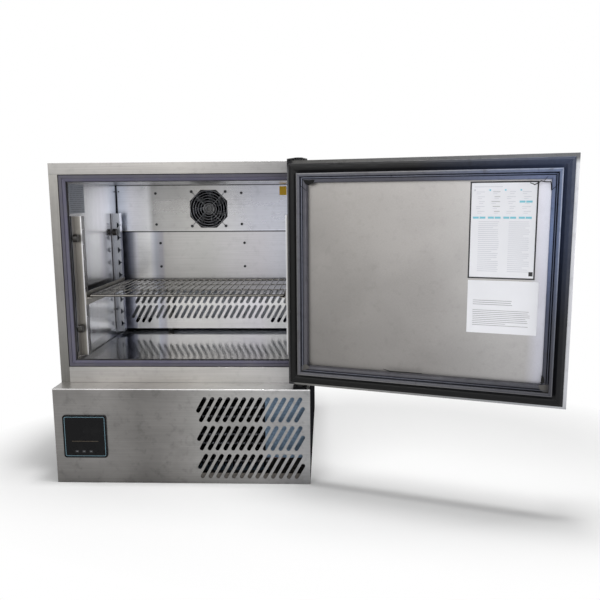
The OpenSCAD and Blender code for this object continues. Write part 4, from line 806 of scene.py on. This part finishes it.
def worn_patch(bm, points, height, thick):
    """A ragged flake of rubber with the given outline."""
    outline = []
    for (u0, v0), (u1, v1) in zip(points, points[1:] + points[:1]):
        for share in (0, 0.25, 0.5, 0.75):
            outline.append(((u0 + (u1 - u0) * share + chance.uniform(-0.8, 0.8)) * MM,
                            (v0 + (v1 - v0) * share + chance.uniform(-0.8, 0.8)) * MM))
    plate(bm, outline, height, height + thick, on_door)


def seal_wear():
    """Cuts, loose lips and scuffs at the corners of the old seal."""
    low, high = seal_hi.y - RIDGE_DROP, seal_hi.y
    flake_foot = low - 1 * MM
    bm = bmesh.new()
    for points, radius, height in (
        (CUT_SHORT, 0.9, low + 0.6 * MM), (CUT_LONG, 1.0, low + 0.8 * MM),
        (CUT_OUTER, 0.7, high - 0.8 * MM), (LIP_FREE, 1.3, low),
        (LIP_HINGE, 0.9, low + 0.8 * MM), (LIP_LOW, 1.2, low),
    ):
        torn_line(bm, points, radius * MM, height)
    worn_patch(bm, FLAP_HINGE, flake_foot, 1.6 * MM)
    worn_patch(bm, NOTCH_FREE, flake_foot, 1.6 * MM)
    piece("door_seal_tears", bm, "door", [torn_rubber], 50)
    bm = bmesh.new()
    worn_patch(bm, SCUFF_FREE, flake_foot, 1.8 * MM)
    worn_patch(bm, SCUFF_HINGE, flake_foot, 1.8 * MM)
    piece("door_seal_scuffs", bm, "door", [scuffed_rubber], 50)


carrier_piece()
seal_piece()
seal_wear()


def breaker_piece():
    """The plastic frame round the opening. Its profile lists the distance in mm from the outer
    edge, or from the inner edge where negative, the depth in mm and the finish."""
    lo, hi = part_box("breaker_frame")
    lip, sill = 0.4 * MM, 4.5 * MM
    store_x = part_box("liner_right")[0].x
    ceiling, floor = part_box("liner_top")[0].z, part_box("liner_left")[0].z
    inner = (-store_x + lip, floor + sill, store_x - lip, ceiling - lip)
    outer = (lo.x, lo.z, hi.x, hi.z)
    widths = [abs(a - b) for a, b in zip(inner, outer)]
    front, rear = lo.y - 0.6 * MM, hi.y

    def level(along, depth):
        """The frame's rectangle at one point of the profile."""
        steps = [along if along >= 0 else width + along for width in widths]
        signs = (1, 1, -1, -1)
        return (*[o + s * step for o, s, step in zip(outer, signs, steps)], front + depth)

    profile = [
        (0, 2.4, 2), (0.6, 1.7, 2), (1.8, 0.6, 0), (8.6, 0.6, 0), (9, 0.9, 1), (9, 2.4, 1),
        (10.6, 2.4, 1), (10.6, 0.9, 1), (11, 0.6, 1), (-6.4, 0.6, 1), (-5.4, 1.2, 1),
        (-1.4, 5.2, 2), (-0.2, 6.8, 2), (-0.001, 7.6, 2),
    ]
    levels = [level(along * MM, depth * MM) for along, depth, _ in profile]
    levels += [level(-0.001 * MM, rear - front), level(0, rear - front)]
    finishes = [finish for _, _, finish in profile] + [1, 0]
    bm = bmesh.new()
    mitred_ring(bm, levels, facing_front, 1, 0.12 * MM, finishes)
    made = piece("breaker_strips", bm, "cabinet",
                 [frame_band, frame_plastic, groove_plastic])
    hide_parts("breaker_frame")


def rotor_piece():
    """The evaporator fan's rotor: its hub and its twisted blades, each a grid of points on two
    sides that runs along the blade and across it."""
    lo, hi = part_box("evaporator_fan_rotor")
    centre, tip = (lo + hi) / 2, (hi.x - lo.x) / 2 - 0.3 * MM
    hub, thick, camber, blades = 21 * MM, 1.3 * MM, 2.4 * MM, 7
    across, along = 6, 7
    root = hub - 1 * MM
    bm = bmesh.new()
    lathe(bm, [(hub - 4 * MM, lo.y), (hub - 1.2 * MM, lo.y + 0.8 * MM), (hub, lo.y + 3 * MM),
               (hub, hi.y)],
          lambda x, y, d: Vector((centre.x + x, d, centre.z + y)), 40)
    for k in range(blades):
        sheets = []
        for side in (-0.5, 0.5):
            grid = []
            for i in range(along + 1):
                share = i / along
                radius = root + (tip - root) * share
                chord = (19 + 15 * share) * MM
                pitch = math.radians(54 - 24 * share)
                lead = 2 * math.pi * k / blades + math.radians(16) * share ** 2
                row = []
                for j in range(across + 1):
                    s = j / across - 0.5
                    turned = s * chord * math.cos(pitch) / radius + lead
                    depth = s * chord * math.sin(pitch) + (1 - 4 * s * s) * camber
                    depth = centre.y + depth + side * thick
                    depth = max(lo.y + 0.5 * MM, min(hi.y - 0.5 * MM, depth))
                    row.append(bm.verts.new((centre.x + radius * math.cos(turned), depth,
                                             centre.z + radius * math.sin(turned))))
                grid.append(row)
            sheets.append(grid)
        closed_shell(bm, *sheets)
    made = piece("fan_blades", bm, "evaporator_fan", [blade_plastic], 50)
    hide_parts("evaporator_fan_rotor")


breaker_piece()
rotor_piece()

# Sheets on the door
SHEET_T = 0.25 * MM
SHEET_CURL = 0.25 * MM
lining_face = local_box("door_liner", DOOR)[1].y


def printed_sheet(name, prints, finishes):
    """A sheet on the door whose faces are cut along its printed areas: prints lists
    (u0, v0, u1, v1, finish), first the whole sheet, and a later area covers an earlier one."""
    us = sorted({u for p in prints for u in (p[0], p[2])})
    vs = sorted({v for p in prints for v in (p[1], p[3])})
    bm = bmesh.new()

    def grid_at(height):
        """A point for each crossing of the cuts, with the sheet's slight waves."""
        return [[bm.verts.new(on_door(u, v, height + SHEET_CURL * (
            1 + noise.noise(Vector((u * 25, v * 25, 1.7)))))) for v in vs] for u in us]

    def print_at(i, j):
        """The finish of the last area that covers a face's middle."""
        u, v = (us[i] + us[i + 1]) / 2, (vs[j] + vs[j + 1]) / 2
        return next(p[4] for p in reversed(prints) if p[0] < u < p[2] and p[1] < v < p[3])

    closed_shell(bm, grid_at(lining_face + SHEET_T), grid_at(lining_face + 0.05 * MM), print_at)
    piece(name, bm, "door", finishes)


def guide_sheet():
    """The upper sheet: a black border, four columns of small plain marks over light blue bars,
    and two columns of pale lines."""
    u0, u1, v0, v1 = -545.5 * MM, -404.4 * MM, 540 * MM, 751 * MM
    border = 3.2 * MM
    finishes = [paper_white, ink_black, ink_grey, ink_blue, ink_pale]
    white, black, grey, blue, pale = range(5)
    areas = [(u0, v0, u1, v1, black), (u0 + border, v0 + border, u1 - border, v1 - border, white)]

    def area(left, right, below, height, finish):
        """An area placed in mm from the sheet's left and top edges."""
        v = v1 - below * MM
        areas.append((u1 - right * MM, v - height * MM, u1 - left * MM, v, finish))

    area(9, 68, 11, 1.2, pale)
    for column in range(4):
        left = 7.4 + 31.9 * column
        area(left + 1, left + 4.4, 17, 3.4, blue if column else pale)
        for row in range(5):
            inset = 6 + 3 * ((row + column) % 3)
            below = 22 + 10.4 * row
            area(left + inset, left + 24, below, 1.0, grey if column == 1 else pale)
            area(left + inset, left + inset + 9, below + 4, 0.9, pale)
        area(left, left + 12.4, 75.5, 4.4, blue)
        area(left + 14, left + 26.4, 75.5, 4.4, blue)
    area(103.4, 115, 41.5, 4.2, blue)
    area(117, 129.6, 41.5, 4.2, blue)
    for left, right in ((19.6, 64.4), (83, 128)):
        for row in range(26):
            short = chance.uniform(0.0, 16.0) if row % 4 == 3 else chance.uniform(0.0, 4.0)
            area(left, right - short, 86 + 4.3 * row, 1.1, pale)
    area(128, 136.4, 194, 9, black)
    printed_sheet("door_guide_sheet", areas, finishes)


def note_sheet():
    """The lower sheet: two blocks of plain lines only."""
    u0, u1, v0, v1 = -554 * MM, -405.4 * MM, 418 * MM, 536 * MM
    left, right = u0 + 14 * MM, u1 - 12 * MM
    areas = [(u0, v0, u1, v1, 0)]
    for start, below, count, pitch, thick in (
        (left + 34 * MM, 44, 3, 4.4, 1.2), (left, 66, 9, 4.2, 1.1),
    ):
        for row in range(count):
            top = v1 - (below + row * pitch) * MM
            short = chance.uniform(0.0, 0.45) if row % 4 == 3 else chance.uniform(0.0, 0.08)
            areas.append((start + short * (right - start), top - thick * MM, right, top, 1))
    printed_sheet("door_note_sheet", areas, [paper_white, ink_grey])


guide_sheet()
note_sheet()

# Plates and small details of the cabinet
wall_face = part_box("liner_left")[1].x
panel_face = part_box("fan_panel")[0].y
cabinet_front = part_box("front_sill")[0].y


def wall_plate():
    """The plate on the left wall, with rows of plain dashes."""
    y0, y1, z0, z1 = cabinet_front + 21 * MM, cabinet_front + 125 * MM, 683 * MM, 757 * MM
    face = wall_face + 0.6 * MM
    row_pitch, row_height = 5.2 * MM, 1.6 * MM
    bm = bmesh.new()
    plate(bm, rounded_outline(y0, z0, y1, z1, 3 * MM), wall_face + 0.02 * MM, face,
          lambda u, v, d: Vector((d, u, v)))
    for row in range(13):
        top, y = z1 - 6 * MM - row * row_pitch, y0 + 5 * MM
        while y < y1 - 13 * MM:
            long = chance.uniform(5, 26) * MM
            slab(bm, (face + 0.02 * MM, y, top - row_height),
                 (face + 0.08 * MM, min(y + long, y1 - 5 * MM), top), 1)
            y += long + chance.uniform(2, 9) * MM
    piece("wall_data_plate", bm, "cabinet", [plate_blue, plate_ink])


def panel_label():
    """The small plain label at the right end of the upper air panel."""
    bm = bmesh.new()
    outline = rounded_outline(222.6 * MM, 728.6 * MM, 244.4 * MM, 755.3 * MM, 1 * MM)
    plate(bm, outline, panel_face - 0.25 * MM, panel_face - 0.02 * MM, facing_front)
    piece("panel_label", bm, "cabinet", [label_yellow])


def base_edge():
    """The rolled edge along the front of the base's step, drawn in near-white metal as a painted
    highlight.
    """
    lo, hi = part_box("base_front_panel")
    radius, tip_radius = 0.9 * MM, 0.54 * MM
    axis_in = 0.75 * radius
    bm = bmesh.new()
    lathe(bm, [(tip_radius, lo.x + 0.4 * MM), (radius, lo.x + 1.2 * MM),
               (radius, hi.x - 1.2 * MM), (tip_radius, hi.x - 0.4 * MM)],
          lambda x, y, d: Vector((d, lo.y + axis_in + x, hi.z - axis_in + y)), 12)
    piece("base_top_edge", bm, "cabinet", [highlight_metal])


def rivets():
    """Two small dark rivets in the corner between the left wall and the upper air panel."""
    bm = bmesh.new()
    head = [(2.2 * MM, 0.1 * MM), (2 * MM, -0.5 * MM), (1.1 * MM, -1 * MM)]
    x_on_panel, y_on_wall, z_both = -276 * MM, panel_face - 14 * MM, 742 * MM
    lathe(bm, head, lambda x, y, d: Vector((x_on_panel + x, panel_face + d, z_both + y)), 12)
    lathe(bm, head, lambda x, y, d: Vector((wall_face - d, y_on_wall + x, z_both + y)), 12)
    piece("corner_rivets", bm, "cabinet", [screw_metal])


def upright_strips():
    """Thin plain strips on the front uprights' webs, which cover their notches."""
    lo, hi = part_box("shelf_uprights")
    corners = [vert.co for vert in NODES["shelf_uprights"].data.vertices]
    flank = min(abs(corner.x) for corner in corners)
    face = min(corner.y for corner in corners if abs(corner.x) < flank + 1 * MM)
    side_in, end_in = 1.6 * MM, 0.3 * MM
    for name, x0, x1 in (("left", lo.x + side_in, -flank), ("right", flank, hi.x - side_in)):
        bm = bmesh.new()
        slab(bm, (x0, face - 0.25 * MM, lo.z + end_in), (x1, face - 0.05 * MM, hi.z - end_in))
        piece("upright_strip_" + name, bm, "cabinet", [strip_steel])


def control_panel():
    """The control panel's thin border, its one display line and the marks on its buttons."""
    lo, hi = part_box("controller")
    face = lo.y
    outer, inner = [
        rounded_outline(lo.x + inset, lo.z + inset, hi.x - inset, hi.z - inset, radius)
        for inset, radius in ((4.2 * MM, 4 * MM), (5.6 * MM, 3 * MM))]
    bm = bmesh.new()
    band(bm, outer, inner, face - 0.12 * MM, face + 0.1 * MM, facing_front)
    piece("panel_border", bm, "cabinet", [border_plastic])
    line_z, line_in, line_half = lo.z + 43.7 * MM, 22 * MM, 0.5 * MM
    bm = bmesh.new()
    slab(bm, (lo.x + line_in, face - 0.1 * MM, line_z - line_half),
         (hi.x - line_in, face + 0.1 * MM, line_z + line_half))
    piece("panel_line", bm, "cabinet", [tan_plastic])
    mark = [(0.9 * MM, 0.1 * MM), (0.9 * MM, -0.05 * MM), (0.6 * MM, -0.1 * MM)]
    for side in ("left", "middle", "right"):
        button_lo, button_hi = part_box("button_" + side)
        centre = (button_lo + button_hi) / 2
        bm = bmesh.new()
        lathe(bm, mark,
              lambda x, y, d: Vector((centre.x + x, button_lo.y + d, centre.z + y)), 16)
        piece("button_mark_" + side, bm, side + "_button", [mark_plastic])


wall_plate()
panel_label()
base_edge()
rivets()
upright_strips()
control_panel()


# Studio, camera and floor

def camera():
    """The camera, solved from the edges of the body, the store and the door."""
    yaw, pitch, roll = math.radians(2.09), math.radians(9.01), math.radians(-0.39)
    place = Vector((0.365077, -1.925411, 0.715896))
    focal_px, image_px = 665.806, 600
    centre_px = (302.082, 304.656)
    turn = Matrix.Rotation(yaw, 3, "Z")
    forward = turn @ Vector((0, math.cos(pitch), -math.sin(pitch)))
    level_right = turn @ Vector((1, 0, 0))
    level_down = forward.cross(level_right)
    right = math.cos(roll) * level_right - math.sin(roll) * level_down
    down = math.sin(roll) * level_right + math.cos(roll) * level_down
    data = bpy.data.cameras.new("camera")
    data.sensor_width = 36.0
    data.lens = focal_px * data.sensor_width / image_px
    data.shift_x = -(centre_px[0] - image_px / 2) / image_px
    data.shift_y = (centre_px[1] - image_px / 2) / image_px
    made = in_scene("camera", data)
    axes = Matrix((right, -down, -forward)).transposed().to_4x4()
    made.matrix_world = Matrix.Translation(place) @ axes
    bpy.context.scene.camera = made


def seen_directly(tree):
    """1 where a ray comes from the camera, a mirror or glass, and 0 elsewhere."""
    path = node(tree, "LightPath").outputs
    mirrored = calculated(tree, "MAXIMUM", path["Is Camera Ray"], path["Is Glossy Ray"])
    return calculated(tree, "MAXIMUM", mirrored, path["Is Transmission Ray"])


def part_white(tree, share, shader, kind, output):
    """Shows an output's shader, and plain white of strength 1 for a share of it."""
    white = node(tree, kind, {"Color": rgba((1, 1, 1)), "Strength": 1.0})
    choice = node(tree, "MixShader", {0: share, 1: shader, 2: white.outputs[0]})
    feed(tree, tree.nodes[output].inputs["Surface"], choice.outputs[0])


def studio_world():
    """White behind the object for direct rays, and a weak even light for the rest."""
    world = bpy.data.worlds.new("studio")
    bpy.context.scene.world = world
    world.use_nodes = True
    tree = world.node_tree
    plain = tree.nodes["Background"]
    dress(tree, plain, Color=rgba((1, 1, 1)), Strength=0.08)
    part_white(tree, seen_directly(tree), plain.outputs[0], "Background", "World Output")


def studio_floor():
    """A light floor with the object's shadow, which fades to white outside an ellipse."""
    half, drop = 6.0, 0.2 * MM
    middle, stretch = Vector((0.42, -0.12, 0.0)), Vector((0.62, 1.0, 1.0))
    fade_from, fade_to = 0.44, 0.7
    corners = [(-half, -half, -drop), (half, -half, -drop), (half, half, -drop),
               (-half, half, -drop)]
    mesh = bpy.data.meshes.new("floor")
    mesh.from_pydata(corners, [], [(0, 1, 2, 3)])
    finish, tree, surface = material("floor", Roughness=0.9, Base_Color=rgba((0.97, 0.97, 0.97)))
    away = node(tree, "VectorMath", {0: position(tree, stretch), 1: middle * stretch},
                operation="DISTANCE")
    far = remap(tree, away.outputs["Value"], fade_from, fade_to, 0, 1)
    share = calculated(tree, "MULTIPLY", far, seen_directly(tree))
    part_white(tree, share, surface.outputs[0], "Emission", "Material Output")
    mesh.materials.append(finish)
    made = in_scene("floor", mesh)


def lamp(name, place, target, size, power):
    """A rectangular lamp that faces a point, in metres and watts."""
    data = bpy.data.lights.new(name, "AREA")
    data.shape = "RECTANGLE"
    data.size, data.size_y = size
    data.energy = power
    made = in_scene(name, data)
    made.location = place
    made.rotation_euler = (Vector(target) - Vector(place)).to_track_quat("-Z", "Y").to_euler()


camera()
studio_world()
studio_floor()
lamp("key", (-1.4, -3.0, 1.9), (0.1, 0, 0.4), (2.4, 1.8), 34)
lamp("fill", (2.4, -2.6, 0.8), (0.3, 0, 0.5), (2.0, 1.2), 36)
lamp("top", (0.5, -0.34, 3.4), (0.5, -0.34, 0), (0.7, 0.75), 66)
lamp("top_rear", (0.4, 0.4, 3.4), (0.4, 0.2, 0), (0.6, 0.6), 16)

scene = bpy.context.scene
scene.view_settings.view_transform = "Standard"
